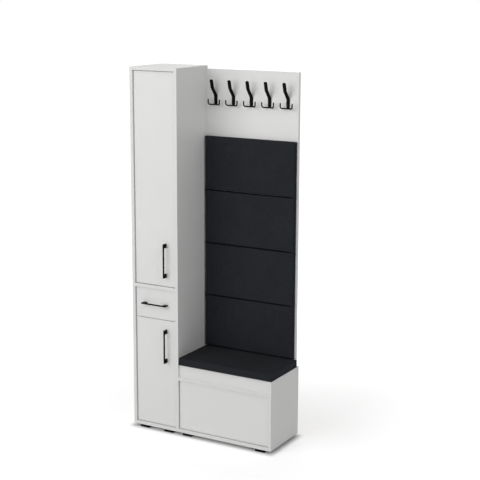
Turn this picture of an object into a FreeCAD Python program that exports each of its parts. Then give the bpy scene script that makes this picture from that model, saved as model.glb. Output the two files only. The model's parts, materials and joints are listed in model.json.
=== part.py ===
import FreeCAD, Part
import Sketcher
import math
import os
import re

# Driving dimensions in millimetres (angles in degrees)
SIZES = {
    # Whole wardrobe
    "total_width": 884.0,
    "total_height": 2036.5,
    "carcass_depth": 320.0,
    "tall_width": 300.0,
    "board_thickness": 18.0,
    "board_edge": 0.8,
    "foot_height": 16.0,
    # Doors, drawer front and flap
    "front_thickness": 18.0,
    "front_gap": 3.0,
    "front_recess": 9.0,
    "lower_door_height": 611.0,
    "drawer_front_height": 169.0,
    # Hardboard backs
    "back_board_thickness": 3.0,
    "rebate_width": 8.0,
    "rebate_play": 0.3,
    # Fits and cuts
    "running_clearance": 0.05,
    "soft_clearance": 0.3,
    "cut_overrun": 2.0,
    # Wall fixing rail
    "wall_rail_height": 70.0,
    "wall_hole_spacing": 160.0,
    "wall_hole_diameter": 7.0,
    # Adjustable shelves
    "shelf_thickness": 16.0,
    "shelf_side_play": 0.5,
    "shelf_setback": 40.0,
    "shelf_rear_gap": 4.0,
    "shelf_pin_diameter": 5.0,
    "shelf_pin_length": 20.0,
    "shelf_pin_inset": 40.0,
    # Cam fittings
    "cam_diameter": 15.0,
    "cam_height": 12.0,
    "cam_inset": 34.0,
    "cam_front_inset": 72.0,
    "cam_rear_inset": 60.0,
    "cam_bolt_diameter": 7.0,
    "cam_stub_diameter": 5.0,
    "cam_stub_wall": 1.0,
    # Glide feet
    "foot_width": 58.0,
    "foot_depth": 40.0,
    "foot_side_inset": 70.0,
    "foot_front_inset": 25.0,
    "foot_peg_diameter": 8.0,
    "foot_peg_length": 9.0,
    # Door pivots
    "pivot_side_inset": 14.0,
    "pivot_front_inset": 6.5,
    "pivot_pin_diameter": 6.0,
    "pivot_pin_depth": 25.0,
    "bush_diameter": 9.0,
    "bush_depth": 12.0,
    "bush_flange_diameter": 14.0,
    "bush_play": 0.2,
    "pivot_plate_thickness": 1.5,
    "pivot_plate_width": 24.0,
    "pivot_plate_front": 6.0,
    "pivot_plate_rear": 55.0,
    "pivot_plate_hole_pitch": 16.0,
    "pivot_plate_hole_setback": 28.0,
    # Handles
    "door_handle_length": 191.0,
    "drawer_handle_length": 159.0,
    "handle_projection": 30.0,
    "handle_bar_width": 7.0,
    "handle_bar_depth": 6.5,
    "handle_post_length": 23.0,
    "handle_edge": 0.8,
    "handle_screw_inset": 15.5,
    "handle_side_offset": 59.0,
    "handle_end_offset": 50.0,
    # Drawer box and runners
    "divider_setback": 2.0,
    "drawer_side_thickness": 12.0,
    "drawer_top_gap": 35.75,
    "drawer_side_lift": 9.0,
    "drawer_rear_gap": 22.0,
    "drawer_bottom_thickness": 3.0,
    "drawer_bottom_lift": 10.0,
    "drawer_groove_depth": 6.0,
    "runner_width": 12.5,
    "runner_height": 35.0,
    "runner_steel": 1.2,
    "runner_play": 0.4,
    "runner_reach": 9.5,
    "runner_end_gap": 4.0,
    "runner_lift": 30.0,
    # Bench
    "bench_height": 406.5,
    "apron_height": 70.5,
    "seat_thickness": 45.0,
    "seat_crown": 3.0,
    "seat_edge": 6.0,
    "seat_corner": 6.0,
    "seat_draw": 1.5,
    "seat_board_thickness": 12.0,
    "seat_board_inset": 8.0,
    "seat_screw_side_inset": 110.0,
    "seat_screw_end_inset": 80.0,
    # Flap and shoe rack
    "flap_axis_setback": 8.0,
    "flap_axis_lift": 16.0,
    "flap_pin_diameter": 8.0,
    "flap_pin_seat": 9.0,
    "flap_pin_reach": 22.0,
    "flap_tilt": 45.0,
    "rack_top_gap": 27.0,
    "rack_wall": 5.0,
    "rack_side_gap": 6.0,
    "rack_rear_gap": 70.0,
    "rack_lip_height": 36.0,
    "rack_divider_angle": 45.0,
    "rack_divider_start": 45.0,
    "rack_divider_inset": 13.0,
    "rack_divider_lip": 20.0,
    "stop_inset": 85.0,
    "stop_angle": 70.0,
    "stop_play": 0.4,
    # Push latch
    "latch_width": 22.0,
    "latch_length": 52.0,
    "latch_height": 17.0,
    "latch_setback": 5.0,
    "latch_plunger_diameter": 8.0,
    "latch_plunger_length": 42.0,
    "latch_tip_gap": 0.3,
    # Back panel and its pads
    "panel_drop": 17.0,
    "panel_inset": 12.0,
    "panel_screw_end_inset": 120.0,
    "pads_drop": 366.0,
    "pad_gap": 1.0,
    "pad_lift": 2.0,
    "pad_side_margin": 6.0,
    "pad_thickness": 28.0,
    "pad_crown": 2.5,
    "pad_edge": 5.0,
    "pad_corner": 5.0,
    "pad_draw": 1.2,
    "pad_board_thickness": 10.0,
    "pad_board_inset": 7.0,
    "pad_screw_inset": 60.0,
    # Screws
    "screw_diameter": 4.0,
    "screw_head_diameter": 8.0,
    "screw_head_height": 2.4,
    "panel_screw_length": 45.0,
    "pad_screw_length": 24.0,
    "seat_screw_length": 25.0,
    "plate_screw_length": 14.0,
    "hook_screw_length": 15.0,
    "handle_screw_grip": 10.0,
    # Coat hooks
    "hook_drop": 191.0,
    "hook_width": 20.0,
    "hook_strip": 3.0,
    "hook_base_height": 48.0,
    "hook_lean_forward": 38.0,
    "hook_lean_rise": 45.0,
    "hook_end_forward": 12.0,
    "hook_end_rise": 45.0,
    "hook_bend_radius": 14.0,
    "hook_tip_radius": 8.0,
    "hook_prong_diameter": 7.5,
    "hook_prong_run": 28.0,
    "hook_prong_bend": 12.0,
    "hook_prong_tip": 14.0,
    "hook_prong_splay": 28.0,
    "hook_prong_drop": 5.0,
    "hook_prong_sink": 1.5,
    "hook_screw_low": 16.0,
    "hook_screw_high": 36.0,
}

# Counts of repeated pieces
UPPER_SHELF_COUNT = 3
PAD_COUNT = 4
HOOK_COUNT = 5
PANEL_SCREW_COUNT = 5

# Rows of a cushion's wall: height as a share of the straight wall, draw-in as a share of the full draw-in
WALL_SHARES = ((0.0, 1.0), (0.25, 0.45), (0.6, 0.08), (1.0, 0.0))
# Turn of the rounded edge as shares of a quarter circle
EDGE_SHARES = (0.3, 0.6, 0.85)
# Rows of the crown: inset as a share of the half width, rise as a share of the crown
CROWN_SHARES = ((0.06, 0.0), (0.22, 0.45), (0.5, 0.82), (0.86, 1.0))
# Distance of the outer hooks from the back panel's edges, of its width
HOOK_MARGIN_SHARE = 0.1108
# Corner radius that is left at the crown's last row
CROWN_CORNER_SHARE = 0.6

# Places worked out from the driving dimensions; the front looks towards -Y and the floor is at zero
PLACES = {
    "left_x": "-total_width / 2",
    "right_x": "total_width / 2",
    "front_y": "(handle_projection - front_recess - carcass_depth) / 2",
    "rear_y": "front_y + carcass_depth",
    "back_y": "rear_y - back_board_thickness",
    "board_depth": "carcass_depth - back_board_thickness",
    "tall_right_x": "left_x + tall_width",
    "tall_inner_left": "left_x + board_thickness",
    "tall_inner_right": "tall_right_x - board_thickness",
    "tall_inner_width": "tall_width - 2 * board_thickness",
    "floor_top": "foot_height + board_thickness",
    "fronts_y": "front_y + front_recess",
    "fronts_rear_y": "fronts_y + front_thickness",
    "front_x": "tall_inner_left + front_gap",
    "front_width": "tall_inner_width - 2 * front_gap",
    "front_right_x": "front_x + front_width",
    "lower_door_z": "floor_top + front_gap",
    "lower_door_top": "lower_door_z + lower_door_height",
    "drawer_z": "lower_door_top + front_gap",
    "middle_shelf_z": "drawer_z + drawer_front_height + front_gap",
    "middle_shelf_top": "middle_shelf_z + board_thickness",
    "upper_door_z": "middle_shelf_top + front_gap",
    "top_panel_z": "total_height - board_thickness",
    "upper_door_top": "top_panel_z - front_gap",
    "plate_z": "lower_door_top + (front_gap - pivot_plate_thickness) / 2",
    "divider_z": "plate_z + pivot_plate_thickness",
    "divider_y": "fronts_rear_y + divider_setback",
    "divider_top": "divider_z + board_thickness",
    "pivot_x": "front_x + pivot_side_inset",
    "pivot_y": "fronts_y + pivot_front_inset",
    "shelf_y": "front_y + shelf_setback",
    "shelf_depth": "back_y - shelf_rear_gap - shelf_y",
    "shelf_bay": f"(top_panel_z - middle_shelf_top) / {UPPER_SHELF_COUNT + 1}",
    "lower_shelf_z": "(floor_top + divider_z - shelf_thickness) / 2",
    "bench_inner_right": "right_x - board_thickness",
    "bench_inner_width": "bench_inner_right - tall_right_x",
    "bench_rail_top": "bench_height - apron_height",
    "bench_rail_z": "bench_rail_top - board_thickness",
    "flap_height": "bench_rail_z - floor_top - 2 * front_gap",
    "bench_top_z": "bench_height - board_thickness",
    "flap_x": "tall_right_x + front_gap",
    "flap_width": "bench_inner_width - 2 * front_gap",
    "flap_axis_y": "fronts_y + flap_axis_setback",
    "flap_axis_z": "lower_door_z + flap_axis_lift",
    "panel_y": "rear_y - board_thickness",
    "panel_width": "right_x - panel_inset - tall_right_x",
    "panel_centre_x": "tall_right_x + panel_width / 2",
    "panel_top": "total_height - panel_drop",
    "panel_height": "panel_top - bench_height",
    "seat_width": "right_x - tall_right_x - soft_clearance",
    "seat_depth": "panel_y - front_y - soft_clearance",
    "seat_top": "bench_height + seat_thickness",
    "seat_centre_x": "tall_right_x + soft_clearance + seat_width / 2",
    "seat_centre_y": "front_y + seat_depth / 2",
    "pad_width": "panel_width - 2 * pad_side_margin",
    "pads_z": "seat_top + pad_lift",
    "pad_height": f"(panel_top - pads_drop - pads_z - {PAD_COUNT - 1} * pad_gap) / {PAD_COUNT}",
    "pad_pitch": "pad_height + pad_gap",
    "hook_z": "panel_top - hook_drop",
    "hook_lean_length": "sqrt(hook_lean_forward ^ 2 + hook_lean_rise ^ 2)",
    "hook_end_length": "sqrt(hook_end_forward ^ 2 + hook_end_rise ^ 2)",
    "cam_stub_length": "board_thickness / 2 - cam_stub_wall",
    "cam_front_y": "front_y + cam_front_inset",
    "cam_rear_y": "rear_y - cam_rear_inset",
    "box_left_x": "tall_inner_left + runner_width",
    "box_width": "tall_inner_width - 2 * runner_width",
    "box_z": "divider_top + drawer_side_lift",
    "box_bottom_z": "box_z + drawer_bottom_lift",
    "box_back_z": "box_bottom_z + drawer_bottom_thickness",
    "drawer_side_height": "middle_shelf_z - drawer_top_gap - box_z",
    "drawer_length": "back_y - drawer_rear_gap - fronts_rear_y",
    "runner_z": "box_z + runner_lift",
    "runner_y": "fronts_rear_y + runner_end_gap",
    "runner_length": "drawer_length - 2 * runner_end_gap",
    "latch_y": "fronts_rear_y + latch_setback",
    "latch_axis_z": "bench_rail_z - latch_height / 2",
    "rack_radius": "flap_height - flap_axis_lift - rack_top_gap",
    "rack_depth": "back_y - flap_axis_y - rack_rear_gap",
    "rack_floor_reach": "rack_depth - rack_wall",
    "rack_divider_reach": "rack_radius - rack_divider_inset",
    "stop_radius": "rack_radius - stop_inset",
    "rack_inner_left": "tall_right_x + rack_side_gap + rack_wall",
    "rack_inner_width": "bench_inner_width - 2 * (rack_side_gap + rack_wall)",
    "stop_margin": "(flap_pin_diameter / 2 + stop_play) / stop_radius * 180 / pi",
}

WORD = re.compile(r"[a-z][a-z_]*")
TURN = {
    "+X": FreeCAD.Rotation(FreeCAD.Vector(0, 1, 0), 90),
    "-X": FreeCAD.Rotation(FreeCAD.Vector(0, 1, 0), -90),
    "+Y": FreeCAD.Rotation(FreeCAD.Vector(1, 0, 0), -90),
    "-Y": FreeCAD.Rotation(FreeCAD.Vector(1, 0, 0), 90),
    "+Z": FreeCAD.Rotation(),
    "-Z": FreeCAD.Rotation(FreeCAD.Vector(1, 0, 0), 180),
}
# Turn that lays a plan drawn in XY against a side wall: X to Y, Y to Z, Z to X
SIDEWAYS = FreeCAD.Rotation(FreeCAD.Vector(1, 1, 1), 120)

doc = FreeCAD.newDocument("HallwayWardrobe")
sheet = doc.addObject("Spreadsheet::Sheet", "Sizes")
for row, (alias, size) in enumerate(SIZES.items(), start=1):
    sheet.set(f"A{row}", alias)
    sheet.set(f"B{row}", str(size))
    sheet.setAlias(f"B{row}", alias)
doc.recompute()

nodes = {}


# Formulas and placing

def bound(formula):
    """Turn a formula in plain names into one that reads the sheet."""
    def replace(match):
        word = match.group()
        if word in PLACES:
            return "(" + bound(PLACES[word]) + ")"
        return "Sizes." + word if word in SIZES else word
    return WORD.sub(replace, formula)


def set_sizes(piece, **formulas):
    for name, formula in formulas.items():
        piece.setExpression(name, bound(formula))
    return piece


def place(piece, x, y, z, turn=None):
    if turn is not None:
        piece.Placement = FreeCAD.Placement(FreeCAD.Vector(), turn)
    for axis, formula in zip("xyz", (x, y, z)):
        piece.setExpression(f".Placement.Base.{axis}", bound(formula))
    return piece


def keep(label, piece):
    """Register a finished sub-part under the name of its node."""
    piece.Label = label
    nodes[label] = piece
    return piece


# Basic shapes

def box(name, corner, size):
    piece = doc.addObject("Part::Box", name)
    set_sizes(piece, Length=size[0], Width=size[1], Height=size[2])
    return place(piece, *corner)


def rounded_board(name, corner, size):
    """A board whose banded edges are slightly rounded."""
    body = doc.addObject("PartDesign::Body", name)
    block = body.newObject("PartDesign::AdditiveBox", name + "_block")
    set_sizes(block, Length=size[0], Width=size[1], Height=size[2])
    edges = body.newObject("PartDesign::Fillet", name + "_edges")
    edges.Base = (block, [""])
    edges.UseAllEdges = True
    set_sizes(edges, Radius="board_edge")
    return place(body, *corner)


def rod(name, way, start, diameter, length):
    piece = doc.addObject("Part::Cylinder", name)
    set_sizes(piece, Radius=f"({diameter}) / 2", Height=length)
    return place(piece, *start, turn=TURN[way])


def outline_sketch(body, name, plane, outline):
    """A closed outline of straight lines, each corner held by two bound distances."""
    sketch = body.newObject("Sketcher::SketchObject", name)
    support = [feature for feature in body.Origin.OriginFeatures if feature.Role == plane][0]
    sketch.AttachmentSupport = [(support, "")]
    sketch.MapMode = "FlatFace"
    count = len(outline)
    steps = [2 * math.pi * index / count for index in range(count)]
    ring = [FreeCAD.Vector(math.cos(step), math.sin(step), 0) for step in steps]
    for index in range(count):
        sketch.addGeometry(Part.LineSegment(ring[index], ring[(index + 1) % count]), False)
    for index in range(count):
        sketch.addConstraint(Sketcher.Constraint("Coincident", index, 2, (index + 1) % count, 1))
    for index, corner in enumerate(outline):
        for axis, formula in zip("XY", corner):
            rule = Sketcher.Constraint("Distance" + axis, -1, 1, index, 1, 1.0)
            number = sketch.addConstraint(rule)
            sketch.renameConstraint(number, f"{axis}{index}")
            sketch.setExpression(f"Constraints.{axis}{index}", bound(formula))
    return sketch


def turned(name, outline):
    """A lathe-turned piece: the outline, in radius and height, goes round the Z axis."""
    body = doc.addObject("PartDesign::Body", name)
    sketch = outline_sketch(body, name + "_outline", "XZ_Plane", outline)
    turn = body.newObject("PartDesign::Revolution", name + "_turn")
    turn.Profile = sketch
    turn.ReferenceAxis = (sketch, ["V_Axis"])
    turn.Angle = 360
    return body


def extruded(name, plane, outline, width):
    """An outline given a width, half to each side of its plane."""
    body = doc.addObject("PartDesign::Body", name)
    sketch = outline_sketch(body, name + "_outline", plane, outline)
    pad = body.newObject("PartDesign::Pad", name + "_width")
    pad.Profile = sketch
    pad.SideType = "Symmetric"
    set_sizes(pad, Length=width)
    return body


def compound(name, pieces):
    group = doc.addObject("Part::Compound", name)
    group.Links = pieces
    return group


def cut(name, base, tools):
    piece = doc.addObject("Part::Cut", name)
    piece.Base = base
    piece.Tool = tools[0] if len(tools) == 1 else compound(name + "_cuts", tools)
    return piece


def fuse(name, pieces):
    piece = doc.addObject("Part::MultiFuse", name)
    piece.Shapes = pieces
    return piece


def copies(name, pattern, way, places):
    """Copies of one pattern piece, turned so that its Z axis points the given way."""
    links = []
    for number, spot in enumerate(places, start=1):
        link = doc.addObject("App::Link", f"{name}_{number}")
        link.LinkedObject = pattern
        links.append(place(link, *spot, turn=TURN[way]))
    return links


# Screws: the same outline, wider by the running clearance, makes their holes

def countersunk(name, length, spare):
    return turned(name, [
        ("0", "0"),
        (f"screw_head_diameter / 2 + {spare}", "0"),
        (f"screw_diameter / 2 + {spare}", "screw_head_height"),
        (f"screw_diameter / 2 + {spare}", f"{length} + {spare}"),
        ("0", f"{length} + {spare}"),
    ])


def pan_head(name, length):
    return turned(name, [
        ("0", "-screw_head_height"),
        ("screw_head_diameter / 2", "-screw_head_height"),
        ("screw_head_diameter / 2", "0"),
        ("screw_diameter / 2", "0"),
        ("screw_diameter / 2", length),
        ("0", length),
    ])


def screw_hole(name, length):
    return turned(name, [
        ("0", "-cut_overrun"),
        ("screw_diameter / 2 + running_clearance", "-cut_overrun"),
        ("screw_diameter / 2 + running_clearance", f"{length} + running_clearance"),
        ("0", f"{length} + running_clearance"),
    ])


panel_screw = countersunk("panel_screw", "panel_screw_length", "0")
panel_screw_hole = countersunk("panel_screw_hole", "panel_screw_length", "running_clearance")
pad_screw = countersunk("pad_screw", "pad_screw_length", "0")
pad_screw_hole = countersunk("pad_screw_hole", "pad_screw_length", "running_clearance")
plate_screw = countersunk("plate_screw", "plate_screw_length", "0")
plate_screw_hole = countersunk("plate_screw_hole", "plate_screw_length", "running_clearance")
seat_screw = pan_head("seat_screw", "seat_screw_length")
seat_screw_hole = screw_hole("seat_screw_hole", "seat_screw_length")
hook_screw = pan_head("hook_screw", "hook_screw_length")
hook_screw_hole = screw_hole("hook_screw_hole", "hook_screw_length")
handle_screw = pan_head("handle_screw", "front_thickness + handle_screw_grip")
handle_screw_hole = screw_hole("handle_screw_hole", "front_thickness + handle_screw_grip")

seat_screw_places = []
for along in ("tall_right_x + seat_screw_side_inset", "bench_inner_right - seat_screw_side_inset"):
    for across in ("front_y + seat_screw_end_inset", "panel_y - seat_screw_end_inset"):
        seat_screw_places.append((along, across, "bench_top_z"))

panel_screw_places = []
for number in range(PANEL_SCREW_COUNT):
    reach = "panel_height - 2 * panel_screw_end_inset"
    height = f"bench_height + panel_screw_end_inset + {number} * ({reach}) / {PANEL_SCREW_COUNT - 1}"
    panel_screw_places.append(("tall_inner_right", "rear_y - board_thickness / 2", height))

pad_screw_places = []
for number in range(PAD_COUNT):
    low = f"pads_z + {number} * pad_pitch + pad_screw_inset"
    high = f"pads_z + {number} * pad_pitch + pad_height - pad_screw_inset"
    for along in ("-(pad_width / 2 - pad_screw_inset)", "(pad_width / 2 - pad_screw_inset)"):
        for height in (low, high):
            pad_screw_places.append((f"panel_centre_x + {along}", "rear_y", height))

plate_screw_places = []
for number in range(2):
    setback = f"pivot_y + pivot_plate_hole_setback + {number} * pivot_plate_hole_pitch"
    plate_screw_places.append(("pivot_x", setback, "plate_z"))

keep("carcass_screws", compound("carcass_screws", [
    *copies("seat_screws", seat_screw, "+Z", seat_screw_places),
    *copies("panel_screws", panel_screw, "+X", panel_screw_places),
    *copies("pad_screws", pad_screw, "-Y", pad_screw_places),
    *copies("plate_screws", plate_screw, "+Z", plate_screw_places),
]))

# Cam fittings at both ends of every fixed board: a cam from below and a bolt out of the end

cam = turned("cam", [
    ("0", "0"),
    ("cam_diameter / 2", "0"),
    ("cam_diameter / 2", "cam_height"),
    ("0", "cam_height"),
])
cam_hole = turned("cam_hole", [
    ("0", "-cut_overrun"),
    ("cam_diameter / 2 + running_clearance", "-cut_overrun"),
    ("cam_diameter / 2 + running_clearance", "cam_height + running_clearance"),
    ("0", "cam_height + running_clearance"),
])
cam_bolt = turned("cam_bolt", [
    ("0", "-cam_stub_length"),
    ("cam_stub_diameter / 2", "-cam_stub_length"),
    ("cam_stub_diameter / 2", "0"),
    ("cam_bolt_diameter / 2", "0"),
    ("cam_bolt_diameter / 2", "cam_inset - cam_diameter / 2 - soft_clearance"),
    ("0", "cam_inset - cam_diameter / 2 - soft_clearance"),
])
cam_bolt_hole = turned("cam_bolt_hole", [
    ("0", "-cam_stub_length - running_clearance"),
    ("cam_stub_diameter / 2 + running_clearance", "-cam_stub_length - running_clearance"),
    ("cam_stub_diameter / 2 + running_clearance", "0"),
    ("cam_bolt_diameter / 2 + running_clearance", "0"),
    ("cam_bolt_diameter / 2 + running_clearance", "cam_inset"),
    ("0", "cam_inset"),
])

cam_pieces = []


def cam_joint(name, left_end, right_end, underside):
    """Fit one board's two ends; give back the holes for the board and for the two walls."""
    tools = {"board": [], "left": [], "right": []}
    middle = f"{underside} + board_thickness / 2"
    ends = (
        ("left", left_end, "+X", f"{left_end} + cam_inset"),
        ("right", right_end, "-X", f"{right_end} - cam_inset"),
    )
    for side, end, way, centre in ends:
        label = f"{name}_{side}"
        cams = [(centre, "cam_front_y", underside), (centre, "cam_rear_y", underside)]
        bolts = [(end, "cam_front_y", middle), (end, "cam_rear_y", middle)]
        cam_pieces.extend(copies(label + "_cam", cam, "+Z", cams))
        cam_pieces.extend(copies(label + "_bolt", cam_bolt, way, bolts))
        bolt_holes = copies(label + "_bolt_hole", cam_bolt_hole, way, bolts)
        tools[side].extend(bolt_holes)
        tools["board"].extend(bolt_holes + copies(label + "_cam_hole", cam_hole, "+Z", cams))
    return tools


tall_ends = ("tall_inner_left", "tall_inner_right")
bench_ends = ("tall_right_x", "bench_inner_right")
cams_top = cam_joint("top", *tall_ends, "top_panel_z")
cams_middle = cam_joint("middle", *tall_ends, "middle_shelf_z")
cams_divider = cam_joint("divider", *tall_ends, "divider_z")
cams_bottom = cam_joint("bottom", *tall_ends, "foot_height")
cams_bench_bottom = cam_joint("bench_bottom", *bench_ends, "foot_height")
cams_bench_rail = cam_joint("bench_rail", *bench_ends, "bench_rail_z")
cams_bench_top = cam_joint("bench_top", *bench_ends, "bench_top_z")
keep("cam_fittings", compound("cam_fittings", cam_pieces))
tall_cams = (cams_top, cams_middle, cams_divider, cams_bottom)
bench_cams = (cams_bench_bottom, cams_bench_rail, cams_bench_top)

# Shelf pins and the shelves that lie on them

shelf_levels = [
    f"middle_shelf_top + {number} * shelf_bay - shelf_thickness / 2"
    for number in range(1, UPPER_SHELF_COUNT + 1)
]
shelf_levels.append("lower_shelf_z")
shelves = []
left_pin_places = []
right_pin_places = []
for number, level in enumerate(shelf_levels, start=1):
    corner = ("tall_inner_left + shelf_side_play", "shelf_y", level)
    size = ("tall_inner_width - 2 * shelf_side_play", "shelf_depth", "shelf_thickness")
    shelves.append(box(f"shelf_{number}", corner, size))
    for across in ("shelf_y + shelf_pin_inset", "shelf_y + shelf_depth - shelf_pin_inset"):
        height = f"{level} - shelf_pin_diameter / 2"
        left_pin_places.append(("tall_inner_left - shelf_pin_length / 2", across, height))
        right_pin_places.append(("tall_inner_right - shelf_pin_length / 2", across, height))
keep("adjustable_shelves", compound("adjustable_shelves", shelves))
shelf_pins = []
shelf_pin_holes = {"left": [], "right": []}
for side, places in (("left", left_pin_places), ("right", right_pin_places)):
    for number, spot in enumerate(places, start=1):
        name = f"shelf_pin_{side}_{number}"
        hole = "shelf_pin_diameter + 2 * running_clearance"
        shelf_pins.append(rod(name, "+X", spot, "shelf_pin_diameter", "shelf_pin_length"))
        shelf_pin_holes[side].append(rod(name + "_hole", "+X", spot, hole, "shelf_pin_length"))
keep("shelf_pins", compound("shelf_pins", shelf_pins))

# Pins of the shoe flap: a pivot pin and a stop pin in each wall of the bench

flap_pins = []
flap_pin_holes = {"left": [], "right": []}
flap_bores = []
pin_hole = "flap_pin_diameter + 2 * running_clearance"
stop_reach = "flap_pin_seat + rack_side_gap + rack_wall - stop_play"
pivot_reach = "flap_pin_seat + front_gap + flap_pin_reach"
stop_y = "flap_axis_y + stop_radius * cos(stop_angle * 1deg)"
stop_z = "flap_axis_z + stop_radius * sin(stop_angle * 1deg)"
bench_walls = (("left", "+X", "tall_right_x", "-"), ("right", "-X", "bench_inner_right", "+"))
for side, way, wall, outward in bench_walls:
    start = f"{wall} {outward} flap_pin_seat"
    pivot_start = (start, "flap_axis_y", "flap_axis_z")
    stop_start = (start, stop_y, stop_z)
    flap_pins.append(rod(f"flap_pivot_pin_{side}", way, pivot_start, "flap_pin_diameter", pivot_reach))
    flap_pins.append(rod(f"flap_stop_pin_{side}", way, stop_start, "flap_pin_diameter", stop_reach))
    bore = rod(f"flap_bore_{side}", way, pivot_start, pin_hole, f"{pivot_reach} + soft_clearance")
    flap_bores.append(bore)
    flap_pin_holes[side].append(bore)
    flap_pin_holes[side].append(rod(f"flap_stop_hole_{side}", way, stop_start, pin_hole, stop_reach))
keep("flap_pins", compound("flap_pins", flap_pins))

# Tall cabinet

side_height = "total_height - foot_height"
rebate_size = ("rebate_width + cut_overrun", "back_board_thickness + cut_overrun", "total_height")
left_rebate = box("left_rebate", ("tall_inner_left - rebate_width", "back_y", "0"), rebate_size)
right_rebate = box("right_rebate", ("tall_inner_right - cut_overrun", "back_y", "0"), rebate_size)
left_tools = [left_rebate, *shelf_pin_holes["left"]]
right_tools = [right_rebate, *shelf_pin_holes["right"], *flap_pin_holes["left"]]
for tools in tall_cams:
    left_tools.extend(tools["left"])
    right_tools.extend(tools["right"])
for tools in bench_cams:
    right_tools.extend(tools["left"])
panel_screw_holes = copies("panel_screw_holes", panel_screw_hole, "+X", panel_screw_places)
side_size = ("board_thickness", "carcass_depth", side_height)
tall_left = rounded_board("tall_left_board", ("left_x", "front_y", "foot_height"), side_size)
tall_right = rounded_board("tall_right_board", ("tall_inner_right", "front_y", "foot_height"), side_size)
keep("tall_left_side", cut("tall_left_side", tall_left, left_tools))
keep("tall_right_side", cut("tall_right_side", tall_right, right_tools + panel_screw_holes))

# Door pivots: flanged bushes in the boards, and a steel plate for the lower door's top pin

bush_outline = [
    ("pivot_pin_diameter / 2 + running_clearance", "bush_play - front_gap"),
    ("bush_flange_diameter / 2", "bush_play - front_gap"),
    ("bush_flange_diameter / 2", "0"),
    ("bush_diameter / 2", "0"),
    ("bush_diameter / 2", "bush_depth"),
    ("pivot_pin_diameter / 2 + running_clearance", "bush_depth"),
]
bush = turned("bush", bush_outline)
bush_hole = turned("bush_hole", [
    ("0", "-cut_overrun"),
    ("bush_diameter / 2 + running_clearance", "-cut_overrun"),
    ("bush_diameter / 2 + running_clearance", "bush_depth + running_clearance"),
    ("0", "bush_depth + running_clearance"),
])
high_bush = [("pivot_x", "pivot_y", "top_panel_z")]
middle_bush = [("pivot_x", "pivot_y", "middle_shelf_top")]
low_bush = [("pivot_x", "pivot_y", "floor_top")]
keep("pivot_bushes", compound("pivot_bushes", [
    *copies("high_bush", bush, "+Z", high_bush),
    *copies("middle_bush", bush, "-Z", middle_bush),
    *copies("low_bush", bush, "-Z", low_bush),
]))

plate_screw_holes = copies("plate_screw_holes", plate_screw_hole, "+Z", plate_screw_places)
plate_corner = ("pivot_x - pivot_plate_width / 2", "pivot_y - pivot_plate_front", "plate_z")
plate_size = ("pivot_plate_width", "pivot_plate_front + pivot_plate_rear", "pivot_plate_thickness")
plate_eye = rod(
    "pivot_plate_eye", "+Z", ("pivot_x", "pivot_y", "plate_z - cut_overrun"),
    "pivot_pin_diameter + 2 * running_clearance", "pivot_plate_thickness + 2 * cut_overrun")
plate_blank = box("pivot_plate_blank", plate_corner, plate_size)
keep("pivot_plate", cut("pivot_plate", plate_blank, [plate_eye, *plate_screw_holes]))

# Fixed boards of the tall cabinet

panel_size = ("tall_inner_width", "board_depth", "board_thickness")
top_blank = box("tall_top_blank", ("tall_inner_left", "front_y", "top_panel_z"), panel_size)
top_tools = cams_top["board"] + copies("high_bush_hole", bush_hole, "+Z", high_bush)
keep("tall_top_panel", cut("tall_top_panel", top_blank, top_tools))

middle_blank = box("tall_middle_blank", ("tall_inner_left", "front_y", "middle_shelf_z"), panel_size)
middle_tools = cams_middle["board"] + copies("middle_bush_hole", bush_hole, "-Z", middle_bush)
keep("tall_middle_shelf", cut("tall_middle_shelf", middle_blank, middle_tools))

divider_size = ("tall_inner_width", "back_y - divider_y", "board_thickness")
divider_blank = box("divider_blank", ("tall_inner_left", "divider_y", "divider_z"), divider_size)
keep("drawer_divider", cut("drawer_divider", divider_blank, cams_divider["board"] + plate_screw_holes))

back_size = ("tall_inner_width + 2 * (rebate_width - rebate_play)", "back_board_thickness", side_height)
back_corner = ("tall_inner_left - rebate_width + rebate_play", "back_y", "foot_height")
wall_holes = [
    rod(f"wall_hole_{number}", "+Y",
        (f"left_x + tall_width / 2 {sign} wall_hole_spacing / 2", "back_y - board_thickness - cut_overrun",
         "top_panel_z - wall_rail_height / 2"),
        "wall_hole_diameter", "board_thickness + back_board_thickness + 2 * cut_overrun")
    for number, sign in enumerate("-+", start=1)
]
keep("tall_back_board", cut("tall_back_board", box("tall_back_blank", back_corner, back_size), wall_holes))
rail_corner = ("tall_inner_left", "back_y - board_thickness", "top_panel_z - wall_rail_height")
rail_size = ("tall_inner_width", "board_thickness", "wall_rail_height")
rail_blank = box("wall_rail_blank", rail_corner, rail_size)
keep("wall_fixing_rail", cut("wall_fixing_rail", rail_blank, wall_holes))

# Glide feet under the corners of both boxes

foot = fuse("foot", [
    rounded_board("foot_block", ("-foot_width / 2", "-foot_depth / 2", "0"),
                  ("foot_width", "foot_depth", "foot_height")),
    rod("foot_peg", "+Z", ("0", "0", "foot_height / 2"), "foot_peg_diameter", "foot_height / 2 + foot_peg_length"),
])
foot_hole = turned("foot_hole", [
    ("0", "0"),
    ("foot_peg_diameter / 2 + running_clearance", "0"),
    ("foot_peg_diameter / 2 + running_clearance", "foot_height + foot_peg_length + running_clearance"),
    ("0", "foot_height + foot_peg_length + running_clearance"),
])


def foot_places(left, right):
    rows = ("front_y + foot_front_inset", "rear_y - foot_front_inset")
    columns = (f"{left} + foot_side_inset", f"{right} - foot_side_inset")
    return [(column, row, "0") for column in columns for row in rows]


tall_feet = foot_places("left_x", "tall_right_x")
bench_feet = foot_places("tall_inner_right", "right_x")
keep("glide_feet", compound("glide_feet", copies("foot", foot, "+Z", tall_feet + bench_feet)))

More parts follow.
